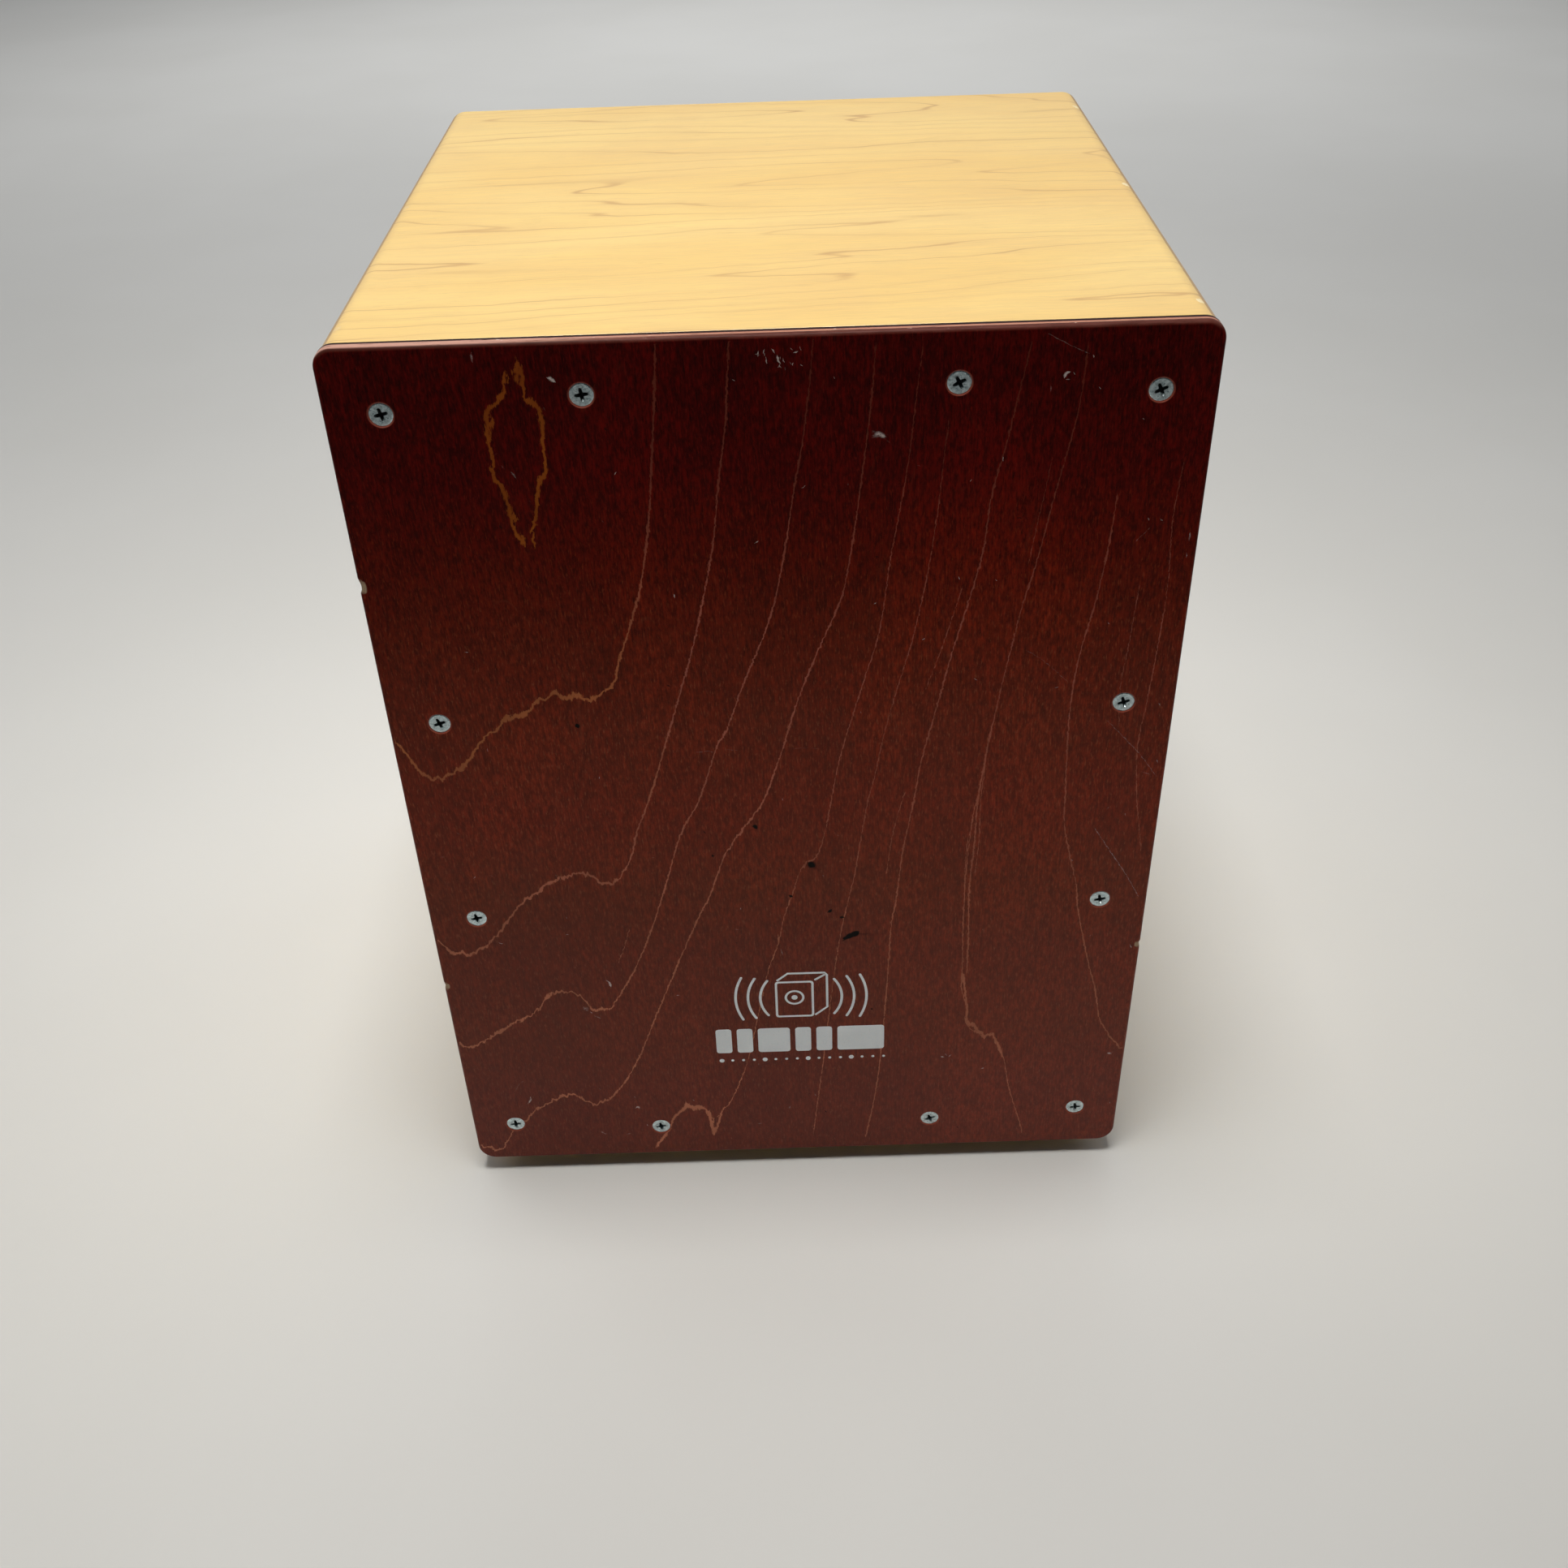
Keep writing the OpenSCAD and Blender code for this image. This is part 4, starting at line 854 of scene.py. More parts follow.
def strength_at(points, segs, signs=None, gains=None):
    """How far inside a ribbon each point is: 1 on its centreline, 0 at its border and outside."""
    P = np.array(points)
    out = np.zeros(len(P))
    for k, (c, hw, end) in enumerate(segs):
        a, b_ = c[:-1], c[1:]
        ab = b_ - a
        L2 = (ab ** 2).sum(1) + 1e-12
        lo, hi = c.min(0) - 2.5, c.max(0) + 2.5
        sel = np.where((P[:, 0] > lo[0]) & (P[:, 0] < hi[0]) & (P[:, 1] > lo[1]) & (P[:, 1] < hi[1]))[0]
        if not len(sel):
            continue
        Q = P[sel]
        t = np.clip(((Q[:, None, :] - a[None]) * ab[None]).sum(2) / L2[None], 0, 1)
        near = a[None] + ab[None] * t[:, :, None]
        dist = np.linalg.norm(Q[:, None, :] - near, axis=2)
        w = hw[:-1][None] * (1 - t) + hw[1:][None] * t
        e = end[:-1][None] * (1 - t) + end[1:][None] * t
        val = np.clip(1.04 * (1 - dist / w) - 0.04, 0, 1) * e
        best = val.max(1) * (1.0 if gains is None else gains[k])
        sgn = 1.0 if signs is None else signs[k]
        if signs is None:
            out[sel] = np.maximum(out[sel], best)
        else:
            cur = out[sel]
            new = best * sgn
            out[sel] = np.where(np.abs(new) > np.abs(cur), new, cur)
    return out


def make_plate():
    box = (P_LO[0], Z0, P_HI[0], Z1)
    inner = (box[0] + ARRIS + 0.12, box[1] + ARRIS + 0.12, box[2] - ARRIS - 0.12, box[3] - ARRIS - 0.12)
    ri = EDGE_R - ARRIS - 0.12
    grain_defs = [(w, [(x, z + Z0) for x, z in pts]) for w, pts in GRAIN]
    gains = [min(1.0, 0.52 + 0.42 * w) for w, pts in GRAIN]
    spin_defs = [(w, [(x, z + Z0) for x, z in pts]) for w, pts in SPINDLE]
    marks = MARKS + specks()
    mark_defs = [(w, [(x, z + Z0) for x, z in pts]) for s_, w, pts in marks]
    g_lines, g_segs = ribbons(grain_defs, 0.62, 3, 0.12, 1.15, 1.35)
    s_lines, s_segs = ribbons(spin_defs, 0.6, 5, 0.26, 1.22, 0.9)
    m_lines, m_segs = ribbons(mark_defs, 0.40, 8, 0.10, 1.75, 0.0, 0.7)
    m_segs = [(c, hw, np.maximum(end, 0.9)) for c, hw, end in m_segs]
    sink_r = 3.4
    holes = [circle(x, z + Z0, sink_r, 40) for x, z in screw_xz]

    def clip(line):
        """keeps the stretches of a line that lie on the face and off the countersinks"""
        runs, cur = [], []
        for p in line:
            ok = inside_round(p[0], p[1], inner, ri) and all(math.hypot(p[0] - x, p[1] - z - Z0) > sink_r + 0.08 for x, z in screw_xz)
            if ok:
                cur.append(p)
            elif len(cur) > 1:
                runs.append(cur)
                cur = []
            else:
                cur = []
        if len(cur) > 1:
            runs.append(cur)
        return runs
    lines = []
    for trio in g_lines + s_lines + m_lines:
        for line in trio:
            lines += clip(line)
    for (c, a, b_), (_, hw, _e) in zip(m_lines, m_segs):
        for k, q in ((0, 1), (-1, -2)):
            t = (c[k] - c[q]) / (np.linalg.norm(c[k] - c[q]) + 1e-9)
            nr = np.array([-t[1], t[0]])
            reach = hw[k] + 0.12
            lines += clip([a[k] + nr * 0.0, c[k] + t * reach, b_[k]])

    def chip_move(kind, p, n, y):
        x, z = p
        for side, cz, half, depth in CHIPS:
            if (side == "L") != (x < 0):
                continue
            t = abs(z - Z0 - cz) / half
            if t < 1.0 and abs(abs(x) - 111) < 2.0:
                k = (1 - t * t) ** 0.5 * depth
                if kind == "rear":
                    k *= 0.35
                x = x + k if side == "L" else x - k
        return (x, z)
    cuts_side = 300

    def chip_depth(side_left, z):
        k = 0.0
        for side, cz, half, depth in CHIPS:
            t = abs(z - Z0 - cz) / half
            if (side == "L") == side_left and t < 1.0:
                k = max(k, (1 - t * t) ** 0.5 * depth)
        return k

    def bare_at(x, z):
        """1 on the broken wood beside a chip, falling to 0 just beyond it"""
        best = 0.0
        for side, cz, half, depth in CHIPS:
            if (side == "L") != (x < 0):
                continue
            t = abs(z - Z0 - cz) / half
            if t < 1.15:
                inward = (111 - abs(x)) - ARRIS - chip_depth(side == "L", z)
                best = max(best, min(1.0, max(0.0, (0.55 - inward) / 0.3)) * min(1.0, max(0.0, (1.1 - t) / 0.25)))
        return best
    # fences keep what the vertices say about a chip or a countersink close to it
    for side, cz, half, depth in CHIPS:
        sg = -1 if side == "L" else 1
        for off in (0.25, 0.6):
            line = []
            for k in range(25):
                z = Z0 + cz + half * 1.3 * (k / 12 - 1)
                line.append((sg * (111 - ARRIS - chip_depth(side == "L", z) - off), z))
            lines.append(line)
    for x, z in screw_xz:
        fence = circle(x, z + Z0, sink_r + 0.22, 40)
        lines.append(fence + [fence[0]])
    b = Builder()

    def attr(kind, x, y, z):
        a = {"edge": 1.0 if kind == "side" else 0.0}
        if kind == "back":
            a["raw"] = 1.0
        if kind == "arris":
            t = (y - P_LO[1]) / ARRIS
            soon = min(1.0, max(0.0, (z - Z1 + 3.0) / 1.5))
            a["edge"] = 1.0 if y > -109 else soon * min(1.0, t * 7.0 + 0.12) + (1 - soon) * min(1.0, max(0.0, t * 1.2 - 0.35))
        if kind in ("face", "arris", "side") and y < P_LO[1] + 2.2:
            bare = bare_at(x, z)
            if bare:
                a["bare"] = bare
        return a
    fh, bh, _ = board(b, box, (EDGE_R, EDGE_R, EDGE_R - 0.8, EDGE_R - 0.8), P_LO[1], P_HI[1], ARRIS, 0.25, seg=14, rseg=5, cuts=(24, cuts_side, 24, cuts_side),
                      holes_front=holes, lines=lines, holes_back=[circle(x, z + Z0, 1.7, 40) for x, z in screw_xz], attr=attr, move=chip_move)
    # countersinks
    for i, (x, z) in enumerate(screw_xz):
        z += Z0
        outer, last = fh[i], bh[i]
        prof = [(sink_r - 0.12, 0.10, 0.75), (1.72, sink_r - 1.72, 0.75), (1.70, sink_r - 1.60, 0.0)]
        n0 = [(-math.cos(2 * math.pi * k / 40) * 0.707, -0.707, -math.sin(2 * math.pi * k / 40) * 0.707) for k in range(40)]
        n1 = [(-math.cos(2 * math.pi * k / 40), 0.0, -math.sin(2 * math.pi * k / 40)) for k in range(40)]
        rings = [outer]
        for r, dy, _w in prof:
            rings.append([b.v((px, P_LO[1] + dy, pz), sink=1.0) for px, pz in circle(x, z, r, 40)])
        rings.append(last)
        add_wall(b, rings[0], n0, rings[1], n0, False)
        add_wall(b, rings[1], n0, rings[2], n0, False)
        add_wall(b, rings[2], n1, rings[3], n1, False)
        add_wall(b, rings[3], n1, rings[4], n1, False)
        for vi in outer:
            b.attrs.setdefault("sink", {})[vi] = 0.35
    # grain and marks on the face
    face = [i for i, p in enumerate(b.co) if abs(p[1] - P_LO[1]) < 1e-6]
    pts = [(b.co[i][0], b.co[i][2]) for i in face]
    g = np.maximum(strength_at(pts, g_segs, None, gains), 0.95 * strength_at(pts, s_segs))
    mk = strength_at(pts, m_segs, [s_ if abs(s_) < 0.4 else math.copysign(min(1.0, abs(s_) * 1.35), s_) for s_, w, p in marks])
    b.attrs["grain"] = {i: float(v) for i, v in zip(face, g) if v > 0}
    b.attrs["mark"] = {i: float(v) for i, v in zip(face, mk) if v != 0}
    for k in ("edge", "sink", "bare", "grain", "mark", "raw"):
        b.attrs.setdefault(k, {})
    return b.build("playing_plate", [stain_material()], nodes=("front_plate",))


# ------------------------------------------------------------------ screws
def cross_loop(arm, half, tip_round, n_tip=3):
    """Outline of a four-winged recess, counter-clockwise."""
    pts = []
    for q in range(4):
        a = q * math.pi / 2
        ca, sa = math.cos(a), math.sin(a)
        local = [(half * 1.25, -half * 1.25)]
        for k in range(n_tip + 1):
            t = math.pi * (k / n_tip - 0.5)
            local.append((arm - half * 0.8 + half * 0.8 * math.cos(t), half * math.sin(t)))
        for px, pz in local:
            pts.append((px * ca - pz * sa, px * sa + pz * ca))
    return pts


def rot2(pts, deg, cx=0.0, cz=0.0):
    c, s = math.cos(math.radians(deg)), math.sin(math.radians(deg))
    return [(cx + x * c - z * s, cz + x * s + z * c) for x, z in pts]


def lathe_rings(b, cx, cz, profile, to3, n, flip=False):
    """Rings of vertices for (radius, depth) pairs."""
    return [[b.v(to3(px, d, pz)) for px, pz in circle(cx, cz, r, n)] for r, d in profile]


def add_screw(b, cx, cz, face, sign, angle, head_r, shank_r, length, dome=0.0, pan=False, arm=1.85, half=0.40, deep=1.5, n=40, tick=True):
    """One cross-recess screw along Y. face is the y of its head's face; sign +1 means it runs towards +Y.
    The recess is a tapered pocket in the head's face."""
    def to3(px, d, pz):
        return (px, face + sign * d, pz)

    def fac(idx, normals=None):
        if sign > 0:
            b.f(idx, normals)
        else:
            b.f(list(reversed(idx)), list(reversed(normals)) if isinstance(normals, list) else normals)

    top = rot2(cross_loop(arm, half, 0), angle, cx, cz)
    bot = rot2(cross_loop(arm * 0.50, half * 0.62, 0), angle, cx, cz)
    rim_r = head_r - 0.32
    ticks = []
    if tick:
        for q in range(4):
            a = angle + 45 + 90 * q
            loc = [(1.00, -0.045), (1.95, -0.10), (2.05, 0.0), (1.95, 0.10), (1.00, 0.045)]
            ticks.append(rot2(loc, a, cx, cz))
    outer = circle(cx, cz, rim_r, n)
    ov, tris, maps = cap(outer, [top] + ticks)
    vid = [b.v(to3(p[0], 0.0, p[1])) for p in ov]
    ny = -float(sign)
    for t in tris:
        fac([vid[i] for i in t], (0.0, ny, 0.0))
    # recess
    # recess: its rim and floor vertices are marked so the zinc is darkened there as painted shade
    tv = [vid[i] for i in maps[1]]
    for i in tv:
        b.attrs.setdefault("dirt", {})[i] = 0.35
    bv = [b.v(to3(p[0], deep, p[1]), dirt=1.0) for p in bot]
    m_ = len(tv)
    for i in range(m_):
        j = (i + 1) % m_
        fac([tv[i], tv[j], bv[j], bv[i]])
    c0 = b.v(to3(cx, deep + 0.35, cz), dirt=1.0)
    for i in range(m_):
        fac([bv[i], bv[(i + 1) % m_], c0])
    for k in range(len(ticks)):
        tk = [vid[i] for i in maps[2 + k]]
        low = [b.v(to3(p[0] * 0.97 + cx * 0.03, 0.16, p[1] * 0.97 + cz * 0.03)) for p in ticks[k]]
        q = len(tk)
        for i in range(q):
            fac([tk[i], tk[(i + 1) % q], low[(i + 1) % q], low[i]])
        fac(low)
    # rim, head, shank with a rolled thread, tip
    if pan:
        prof = [(head_r - 0.02, 0.16, 0.95, -0.3), (head_r, 0.6, 1.0, 0.0), (head_r, 1.5, 1.0, 0.0), (head_r - 0.1, 1.6, 0.7, 0.7), (shank_r, 1.6, 0.0, 1.0)]
        start = 1.6
    else:
        prof = [(rim_r + 0.02, 0.005, 0.34, -0.94), (head_r - 0.04, 0.12, 0.40, -0.92), (head_r, 0.18, 1.0, 0.0), (head_r - 0.05, 0.26, 0.8, 0.6), (shank_r, head_r - shank_r + 0.16, 0.707, 0.707)]
        start = head_r - shank_r + 0.16
    pitch = 1.35
    d = start + 0.6
    core = shank_r * 0.74
    prof.append((core, start + 0.35, 0.9, 0.0))
    while d < length - 2.6:
        prof += [(core, d, 0.9, -0.3), (shank_r, d + 0.28, 1.0, 0.0), (core, d + 0.56, 0.9, 0.3)]
        d += pitch
    prof += [(core, length - 2.6, 0.95, 0.2), (core * 0.55, length - 1.0, 0.9, 0.4), (0.12, length - 0.05, 0.8, 0.6)]
    ang = [2 * math.pi * k / n for k in range(n)]
    prev = [vid[i] for i in maps[0]]
    prev_n = [(0.0, -float(sign), 0.0) for a in ang]
    for r, dd, cr, cy in prof:
        ring = [b.v(to3(px, dd, pz)) for px, pz in circle(cx, cz, r, n)]
        nn = [(math.cos(a) * cr, sign * cy, math.sin(a) * cr) for a in ang]
        for i in range(n):
            j = (i + 1) % n
            fac([prev[i], ring[i], ring[j], prev[j]], [prev_n[i], nn[i], nn[j], prev_n[j]])
        prev, prev_n = ring, nn
    b.attrs.setdefault("dirt", {})
    tip = b.v(to3(cx, length, cz))
    for i in range(n):
        fac([prev[i], tip, prev[(i + 1) % n]])


# ------------------------------------------------------------------ build everything
def make_walls():
    top_mat = birch_material("birch_top", "x", lambda m: m.math("SUBTRACT", T_HI[2], m.z), 1.35, seed=0.0, along_scale=0.0030, rank=0.080, wild=0.42, thin=0.052)
    bot_mat = birch_material("birch_bottom", "x", lambda m: m.math("SUBTRACT", m.z, B_LO[2]), 1.35, seed=40.0, tone=0.97)
    left_mat = birch_material("birch_left", "z", lambda m: m.math("SUBTRACT", m.x, L_LO[0]), 1.35, seed=80.0)
    right_mat = birch_material("birch_right", "z", lambda m: m.math("SUBTRACT", R_HI[0], m.x), 1.35, seed=120.0)
    back_mat = birch_material("birch_back", "z", lambda m: m.math("SUBTRACT", K_HI[1], m.y), 1.0, seed=160.0, tone=0.98)
    made = []
    for name, lo, hi, radii, mat, node in (
        ("seat_wall", T_LO, T_HI, (0.3, 0.3, EDGE_R, EDGE_R), top_mat, "top_panel"),
        ("floor_wall", B_LO, B_HI, (EDGE_R, EDGE_R, 0.3, 0.3), bot_mat, "bottom_panel"),
        ("left_wall", L_LO, L_HI, (0.3, 0.3, 0.3, 0.3), left_mat, "left_side_panel"),
        ("right_wall", R_LO, R_HI, (0.3, 0.3, 0.3, 0.3), right_mat, "right_side_panel"),
    ):
        b = Builder()
        board(b, (lo[0], lo[2], hi[0], hi[2]), radii, lo[1], hi[1], 0.35, 0.6, seg=16, rseg=4, cuts=(8, 1, 8, 1))
        made.append(b.build(name, [mat], nodes=(node,)))
    # back panel with its sound hole
    b = Builder()
    hole_r, hz = 45.0, 171.0
    n = 128
    rr = 1.6
    back_screws = back_points()
    sink_r = 3.4
    fh, bh, _ = board(b, (K_LO[0] + 0.05, K_LO[2] + 0.05, K_HI[0] - 0.05, K_HI[2] - 0.05), (0.3,) * 4, K_LO[1], K_HI[1], 0.2, 0.35, seg=4, rseg=2, cuts=(6, 8, 6, 8),
                      holes_front=[circle(0, hz, hole_r + 0.6, n)] + [circle(x, z, 1.7, 32) for x, z in back_screws],
                      holes_back=[circle(0, hz, hole_r + rr, n)] + [circle(x, z, sink_r, 32) for x, z in back_screws])
    ang = [2 * math.pi * k / n for k in range(n)]
    rings = [(fh[0], 0.0, -1.0)]
    for k in range(1, 4):
        t = math.radians(30 * k)
        rings.append(([b.v((px, K_LO[1] + 0.6 * (1 - math.cos(t)), pz)) for px, pz in circle(0, hz, hole_r + 0.6 - 0.6 * math.sin(t), n)], math.sin(t), -math.cos(t)))
    for k in range(0, 6):
        t = math.radians(18 * k)
        rings.append(([b.v((px, K_HI[1] - rr + rr * math.sin(t), pz)) for px, pz in circle(0, hz, hole_r + rr - rr * math.cos(t), n)] if k < 5 else None, math.cos(t), math.sin(t)))
    rings[-1] = (bh[0], 0.0, 1.0)
    for (A, sa, ca), (B, sb, cb) in zip(rings[:-1], rings[1:]):
        add_wall(b, A, [(-math.cos(a) * sa, ca, -math.sin(a) * sa) for a in ang], B, [(-math.cos(a) * sb, cb, -math.sin(a) * sb) for a in ang], False)
    for i, (x, z) in enumerate(back_screws):
        a32 = [2 * math.pi * k / 32 for k in range(32)]
        ring = [b.v((px, K_HI[1] - (sink_r - 1.7), pz)) for px, pz in circle(x, z, 1.7, 32)]
        nc = [(-math.cos(a), 0.0, -math.sin(a)) for a in a32]
        ns = [(-math.cos(a) * 0.707, 0.707, -math.sin(a) * 0.707) for a in a32]
        add_wall(b, fh[1 + i], nc, ring, nc, False)
        add_wall(b, ring, ns, bh[1 + i], ns, False)
    made.append(b.build("back_board", [back_mat], nodes=("back_panel",)))
    return made


def back_points():
    inset = 9 + 12 / 2
    zl, zh = B_LO[2] + inset, T_HI[2] - inset
    return [(-111 + inset, zh), (0.0, zh), (111 - inset, zh), (-111 + inset, (zl + zh) / 2), (111 - inset, (zl + zh) / 2), (-111 + inset, zl), (0.0, zl), (111 - inset, zl)]


def make_screws(zinc):
    b = Builder()
    for (x, z), a in zip(screw_xz, SCREW_ANGLE):
        add_screw(b, x, z + Z0, P_LO[1] + 0.22, 1, a, 3.1, 1.45, 15.9)
    b.build("plate_screws", [zinc], nodes=("front_plate_screws",))
    b = Builder()
    for k, (x, z) in enumerate(back_points()):
        add_screw(b, x, z, K_HI[1] - 0.22, -1, 11 + 37 * k, 3.1, 1.45, 15.9)
    b.build("back_screws", [zinc], nodes=("back_panel_screws",))


def make_filler(mat):
    """Sanded filler over the brads: ragged flat patches that follow the rounded edge."""
    b = Builder()
    rng = random.Random(12)
    ys = (-97.0, 1.0, 91.0)
    for top in (1, -1):
        zc = Z1 - EDGE_R if top > 0 else Z0 + EDGE_R
        for s in (-1, 1):
            for y in ys:
                n = 18
                rings = []
                radii = [1.25 * (1 + 0.22 * rng.uniform(-1, 1)) for _ in range(n)]
                for f_ in (1.0, 0.93, 0.5, 0.0):
                    ring = []
                    for k in range(n if f_ > 0 else 1):
                        a = 2 * math.pi * k / n
                        px = 107.0 + radii[k] * f_ * math.cos(a) * 0.85
                        py = y + radii[k] * f_ * math.sin(a) * 1.15
                        # the surface of the rounded edge at that x
                        if px > 111 - EDGE_R:
                            dz = math.sqrt(max(EDGE_R ** 2 - (px - 111 + EDGE_R) ** 2, 0))
                        else:
                            dz = EDGE_R
                        lift = -0.05 if f_ == 1.0 else 0.035
                        nx = (px - 111 + EDGE_R) / EDGE_R if px > 111 - EDGE_R else 0.0
                        nz = dz / EDGE_R
                        ring.append((b.v((s * (px + nx * lift), py, zc + top * (dz + nz * lift))), (s * nx, 0.0, top * nz)))
                    rings.append(ring)
                flip = (s * top) < 0
                for A, B in zip(rings[:-1], rings[1:]):
                    for k in range(n):
                        j = (k + 1) % n
                        if len(B) > 1:
                            q = [A[k], A[j], B[j], B[k]]
                        else:
                            q = [A[k], A[j], B[0]]
                        if flip:
                            q = q[::-1]
                        b.f([i for i, _ in q], [nn for _, nn in q])
    b.build("edge_filler", [mat], nodes=("filler_plugs",))


def make_feet(rubber):
    """Moulded feet: a turned profile with a rounded lower edge and a screw well."""
    for node in ("foot_front_left", "foot_front_right", "foot_rear_left", "foot_rear_right"):
        lo, hi = mm_box(node)
        cx, cy, h = (lo[0] + hi[0]) / 2, (lo[1] + hi[1]) / 2, hi[2]
        n = 64
        prof = [(1.95, h), (9.6, h), (9.95, h - 0.25), (10.0, h - 0.7)]
        prof += [(9.95, h - 1.2), (9.0, 1.3)]
        for k in range(1, 7):
            t = math.radians(15 * k)
            prof.append((7.9 + 1.1 * math.cos(t), 1.2 - 1.2 * math.sin(t)))
        prof += [(5.2, 0.0), (4.75, 0.12), (4.5, 0.5), (4.5, 3.0), (1.95, 3.0)]
        b = Builder()
        rings = [[b.v((cx + r * math.cos(2 * math.pi * k / n), cy + r * math.sin(2 * math.pi * k / n), z)) for k in range(n)] for r, z in prof]
        m_ = len(rings)
        normals = []
        for i in range(m_):
            (r0, z0), (r1, z1) = prof[i], prof[(i + 1) % m_]
            dr, dz = r1 - r0, z1 - z0
            L = math.hypot(dr, dz)
            normals.append((-dz / L, dr / L))
        for i in range(m_):
            A, B = rings[i], rings[(i + 1) % m_]
            ni = normals[i]
            pa, pb = normals[(i - 1) % m_], normals[(i + 1) % m_]
            na = np.array(ni) + np.array(pa) if np.dot(ni, pa) > 0.75 else np.array(ni)
            nb = np.array(ni) + np.array(pb) if np.dot(ni, pb) > 0.75 else np.array(ni)
            for k in range(n):
                j = (k + 1) % n
                ck, sk = math.cos(2 * math.pi * k / n), math.sin(2 * math.pi * k / n)
                cj, sj = math.cos(2 * math.pi * j / n), math.sin(2 * math.pi * j / n)
                b.f([A[k], B[k], B[j], A[j]], [(ck * na[0], sk * na[0], na[1]), (ck * nb[0], sk * nb[0], nb[1]), (cj * nb[0], sj * nb[0], nb[1]), (cj * na[0], sj * na[0], na[1])])
        b.build(node.replace("foot_", "rubber_foot_"), [rubber], nodes=(node,))


def make_snares(steel):
    """Each snare wire is a close-wound coil, so it is modelled as one."""
    for node, s in (("snare_wires_left", -1), ("snare_wires_right", 1)):
        lo, hi = mm_box(node)
        r_out, wire = 0.8, 0.17
        n_w, pitch = 10, 3.8
        xc = s * 60.0
        length = 33.0
        # the wires lean from the lip towards the plate
        z_a, z_b = lo[2] + 0.15, hi[2] - 0.15
        y_a, y_b = hi[1] - r_out, lo[1] + r_out
        b = Builder()
        turns = 36
        per = 12
        sides = 5
        axis = Vector((0, y_b - y_a, z_b - z_a)).normalized()
        e1 = Vector((1, 0, 0))
        e2 = axis.cross(e1)
        L = math.hypot(y_b - y_a, z_b - z_a)
        for w in range(n_w):
            x = xc + (w - (n_w - 1) / 2) * pitch
            p0 = Vector((x, y_a, z_a))
            rc = r_out - wire
            prev = None
            total = turns * per
            for k in range(total + 1):
                a = 2 * math.pi * k / per + w * 0.7
                t = k / total
                radial = e1 * math.cos(a) + e2 * math.sin(a)
                c = p0 + axis * (t * L) + radial * rc
                tang = (-e1 * math.sin(a) + e2 * math.cos(a)) * rc * 2 * math.pi + axis * (L / turns)
                tang.normalize()
                bn = tang.cross(radial).normalized()
                ring = []
                for q in range(sides):
                    ph = 2 * math.pi * q / sides
                    nn = radial * math.cos(ph) + bn * math.sin(ph)
                    ring.append((b.v(c + nn * wire), nn))
                if prev is not None:
                    for q in range(sides):
                        r_ = (q + 1) % sides
                        quad = [prev[q], prev[r_], ring[r_], ring[q]]
                        b.f([i for i, _ in quad], [tuple(nn) for _, nn in quad])
                else:
                    b.f([i for i, _ in ring][::-1])
                prev = ring
            b.f([i for i, _ in prev])
        b.build(node.replace("snare_wires", "snare_coils"), [steel], nodes=(node,))


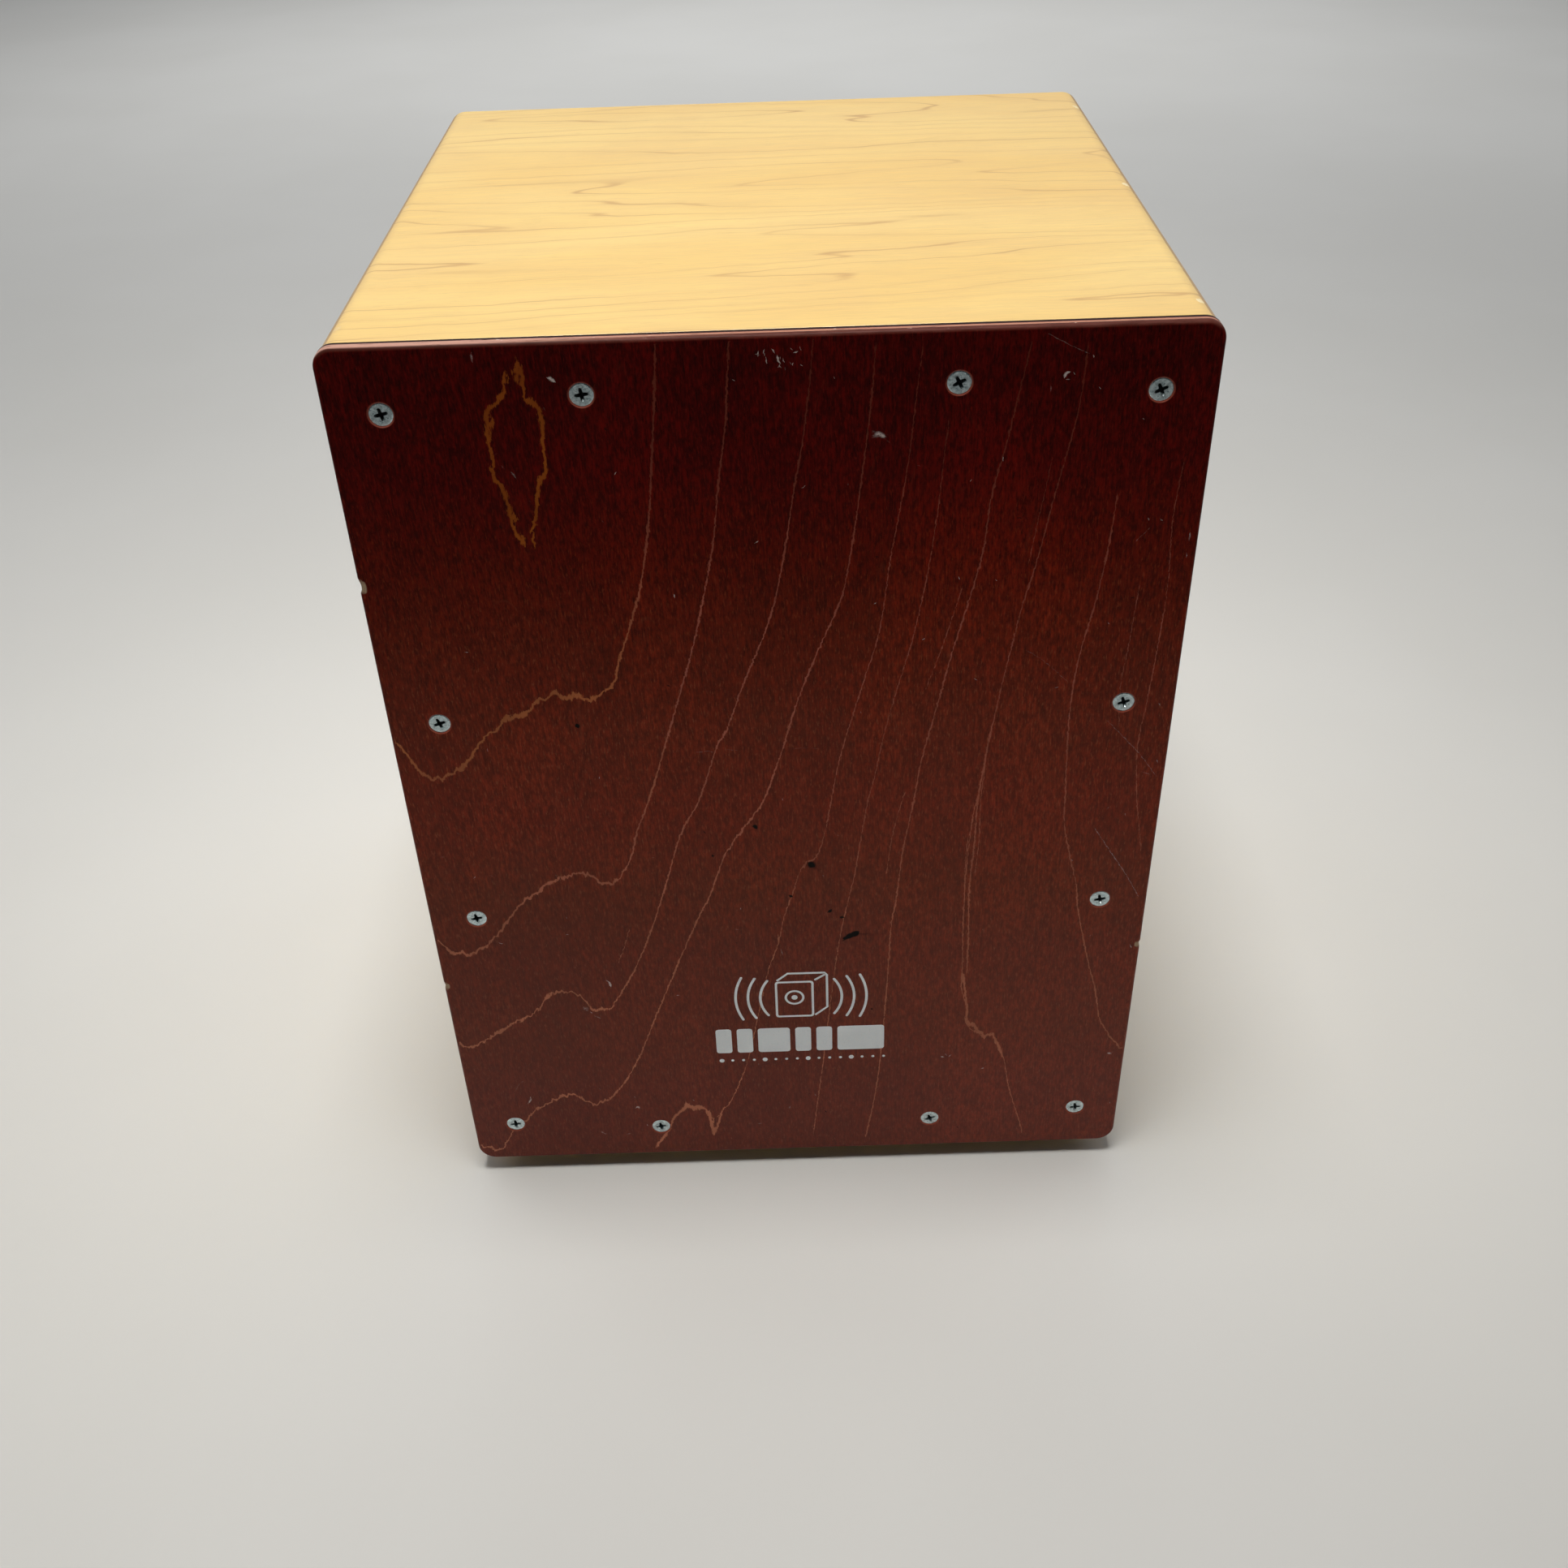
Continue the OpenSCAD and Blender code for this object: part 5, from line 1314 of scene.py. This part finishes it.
# ------------------------------------------------------------------ printed emblem
def make_emblem(ink):
    """A generic printed device: a little box drum with sound arcs over a bar of beats."""
    b = Builder()
    y_face, y_out = PLATE_FACE + 0.01, PLATE_FACE - 0.045

    def shape(outer, holes=()):
        ov, tris, maps = cap(outer, holes)
        top = [b.v((p[0], y_out, p[1])) for p in ov]
        low = [b.v((p[0], y_face, p[1])) for p in ov]
        for t in tris:
            b.f([top[i] for i in t], (0.0, -1.0, 0.0))
            b.f([low[i] for i in reversed(t)], (0.0, 1.0, 0.0))
        for k, mp in enumerate(maps):
            A, B = [top[i] for i in mp], [low[i] for i in mp]
            q = len(A)
            for i in range(q):
                j = (i + 1) % q
                b.f([A[i], B[i], B[j], A[j]] if k == 0 else [A[i], A[j], B[j], B[i]])

    def rect(x0, z0, x1, z1, r=0.35, slant=0.0):
        pts, _ = rounded_loop(x0, z0, x1, z1, (r,) * 4, 0.0, 4)
        return [(x + (z - z0) * slant, z) for x, z in pts]

    def stroke(points, w):
        """a line of even width with round ends, as one outline"""
        c = np.array(points, float)
        t = np.gradient(c, axis=0)
        t = t / np.linalg.norm(t, axis=1)[:, None]
        nr = np.stack([-t[:, 1], t[:, 0]], 1)
        h = w / 2
        right = [tuple(p) for p in c - nr * h]
        left = [tuple(p) for p in c + nr * h]
        out = list(right)
        a = math.atan2(t[-1][1], t[-1][0])
        out += [(c[-1][0] + h * math.cos(a + th), c[-1][1] + h * math.sin(a + th)) for th in np.linspace(-math.pi / 2, math.pi / 2, 6)[1:-1]]
        out += left[::-1]
        a = math.atan2(-t[0][1], -t[0][0])
        out += [(c[0][0] + h * math.cos(a + th), c[0][1] + h * math.sin(a + th)) for th in np.linspace(-math.pi / 2, math.pi / 2, 6)[1:-1]]
        return out

    def arc(cx, cz, r, a0, a1, n=20):
        return [(cx + r * math.cos(math.radians(a0 + (a1 - a0) * k / (n - 1))), cz + r * math.sin(math.radians(a0 + (a1 - a0) * k / (n - 1)))) for k in range(n)]
    X, Z = 3.2, Z0 + 43.6
    # the drum: front face, top face and side face drawn as outlines
    w, h, dx, dz = 12.5, 16.0, 4.2, 3.4
    x0, z0 = X - w / 2 - dx / 2, Z + 21.5
    front, _ = rounded_loop(x0, z0, x0 + w, z0 + h, (1.0,) * 4, 0.0, 5)
    inner, _ = rounded_loop(x0 + 0.75, z0 + 0.75, x0 + w - 0.75, z0 + h - 0.75, (0.5,) * 4, 0.0, 5)
    shape(front, [inner])
    shape(stroke([(x0 + 0.9, z0 + h + 0.55), (x0 + dx, z0 + h + dz), (x0 + dx + w - 0.6, z0 + h + dz), (x0 + dx + w + 0.1, z0 + h + dz - 0.9), (x0 + dx + w + 0.1, z0 + dz + 0.8), (x0 + w + 0.55, z0 + 0.9)], 0.75))
    shape(stroke([(x0 + w + 0.55, z0 + h + 0.45), (x0 + w + dx - 0.75, z0 + h + dz - 0.95)], 0.75))
    shape(circle(x0 + w / 2, z0 + h * 0.55, 3.2, 32), [circle(x0 + w / 2, z0 + h * 0.55, 2.45, 32)])
    shape(circle(x0 + w / 2, z0 + h * 0.55, 1.0, 20))
    # sound arcs on both sides
    cx, cz = X, z0 + h * 0.55
    for r in (13.2, 17.2, 21.2):
        spread = 26 + (21.2 - r) * 1.2
        shape(stroke(arc(cx, cz, r, -spread, spread), 0.85))
        shape(stroke(arc(cx, cz, r, 180 - spread, 180 + spread), 0.85))
    # a bar of beats: long and short solid blocks
    x = X - 28.5
    for width, height in ((5.2, 11.0), (5.2, 11.0), (10.6, 11.0), (5.2, 11.0), (5.2, 11.0), (15.4, 11.0)):
        zz = Z + 5.6
        shape(rect(x, zz, x + width, zz + height, 0.9))
        x += width + 1.75
    # a fine count line under it
    for k in range(16):
        cxk = X - 27.0 + k * 3.6
        r = 0.85 if k % 4 == 0 else 0.5
        shape(circle(cxk, Z + 2.0, r, 16))
    b.build("printed_emblem", [ink])


zinc = zinc_material()
steel = wire_material("snare_steel", (0.56, 0.56, 0.57), (0.72, 0.72, 0.73))
brass = wire_material("brass_plate", (0.62, 0.45, 0.17), (0.76, 0.58, 0.26))
rubber = rubber_material()
filler = filler_material()
pine_x = pine_material("raw_pine_x", "x", 3.0)
pine_z = pine_material("raw_pine_z", "z", 9.0)

make_plate()
make_walls()
make_screws(zinc)
make_filler(filler)
make_feet(rubber)
make_snares(steel)
make_emblem(ink_material())


def assign(node, mat):
    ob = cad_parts[node]
    if not ob.data.materials:
        ob.data.materials.append(mat)
    for s in ob.material_slots:
        s.material = mat


for node in ("front_batten_top", "front_batten_bottom", "rear_batten_top", "rear_batten_bottom", "snare_bar"):
    assign(node, pine_x)
for node in ("front_batten_left", "front_batten_right", "rear_batten_left", "rear_batten_right"):
    assign(node, pine_z)
for node in ("panel_brads", "snare_plate_screws", "foot_washers", "foot_screws"):
    assign(node, zinc)
for node in ("snare_plate_left", "snare_plate_right"):
    assign(node, brass)

# ------------------------------------------------------------------ floor, lights
fm = Mat("pale_floor")
fcol = fm.mix(fm.step(fm.noise(fm.vec(fm.x, fm.y, fm.z), 0.004, 3.0), 0.3, 0.7), (0.725, 0.712, 0.678), (0.75, 0.738, 0.706))
fm.set(Base_Color=fcol, Roughness=0.85, Specular_IOR_Level=0.2)
bpy.ops.mesh.primitive_plane_add(size=14.0, location=(0, 0, -0.0002))
floor = bpy.context.object
floor.name = "floor"
floor.data.materials.append(fm.m)


def area(name, loc, target, size, energy, color=(1, 1, 1), size_y=None, spread=180.0):
    d = bpy.data.lights.new(name, "AREA")
    d.shape = "RECTANGLE" if size_y else "SQUARE"
    d.size = size
    if size_y:
        d.size_y = size_y
    d.energy = energy
    d.color = color
    d.spread = math.radians(spread)
    ob = bpy.data.objects.new(name, d)
    scene.collection.objects.link(ob)
    ob.location = loc
    ob.rotation_euler = (Vector(target) - Vector(loc)).to_track_quat("-Z", "Y").to_euler()
    return ob


area("key_above", (-0.05, -0.17, 1.5), (-0.05, -0.03, 0.3), 0.45, 2.55, (1.0, 0.985, 0.955), spread=68.0)
area("fill_left", (-1.15, 0.8, 1.1), (0.0, 0.1, 0.12), 0.8, 2.3, (0.98, 0.99, 1.0))
area("fill_right", (1.2, 0.7, 1.1), (0.0, 0.1, 0.12), 0.8, 1.9, (0.98, 0.99, 1.0))
area("rear_wash", (0.0, 1.75, 1.5), (0.0, 1.65, 0.0), 1.8, 9.0, (0.98, 0.99, 1.0), size_y=0.8, spread=120.0)
world = bpy.data.worlds.new("world")
scene.world = world
world.use_nodes = True
wt = world.node_tree
bg = wt.nodes["Background"]
bg.inputs[0].default_value = (0.86, 0.89, 0.93, 1.0)
w_co = wt.nodes.new("ShaderNodeTexCoord")
w_sep = wt.nodes.new("ShaderNodeSeparateXYZ")
w_map = wt.nodes.new("ShaderNodeMapRange")
w_map.interpolation_type = "SMOOTHSTEP"
w_map.inputs["From Min"].default_value = -0.55
w_map.inputs["From Max"].default_value = 0.9
w_map.inputs["To Min"].default_value = 0.045
w_map.inputs["To Max"].default_value = 0.40
wt.links.new(w_co.outputs["Generated"], w_sep.inputs[0])
wt.links.new(w_sep.outputs[1], w_map.inputs["Value"])
wt.links.new(w_map.outputs["Result"], bg.inputs[1])
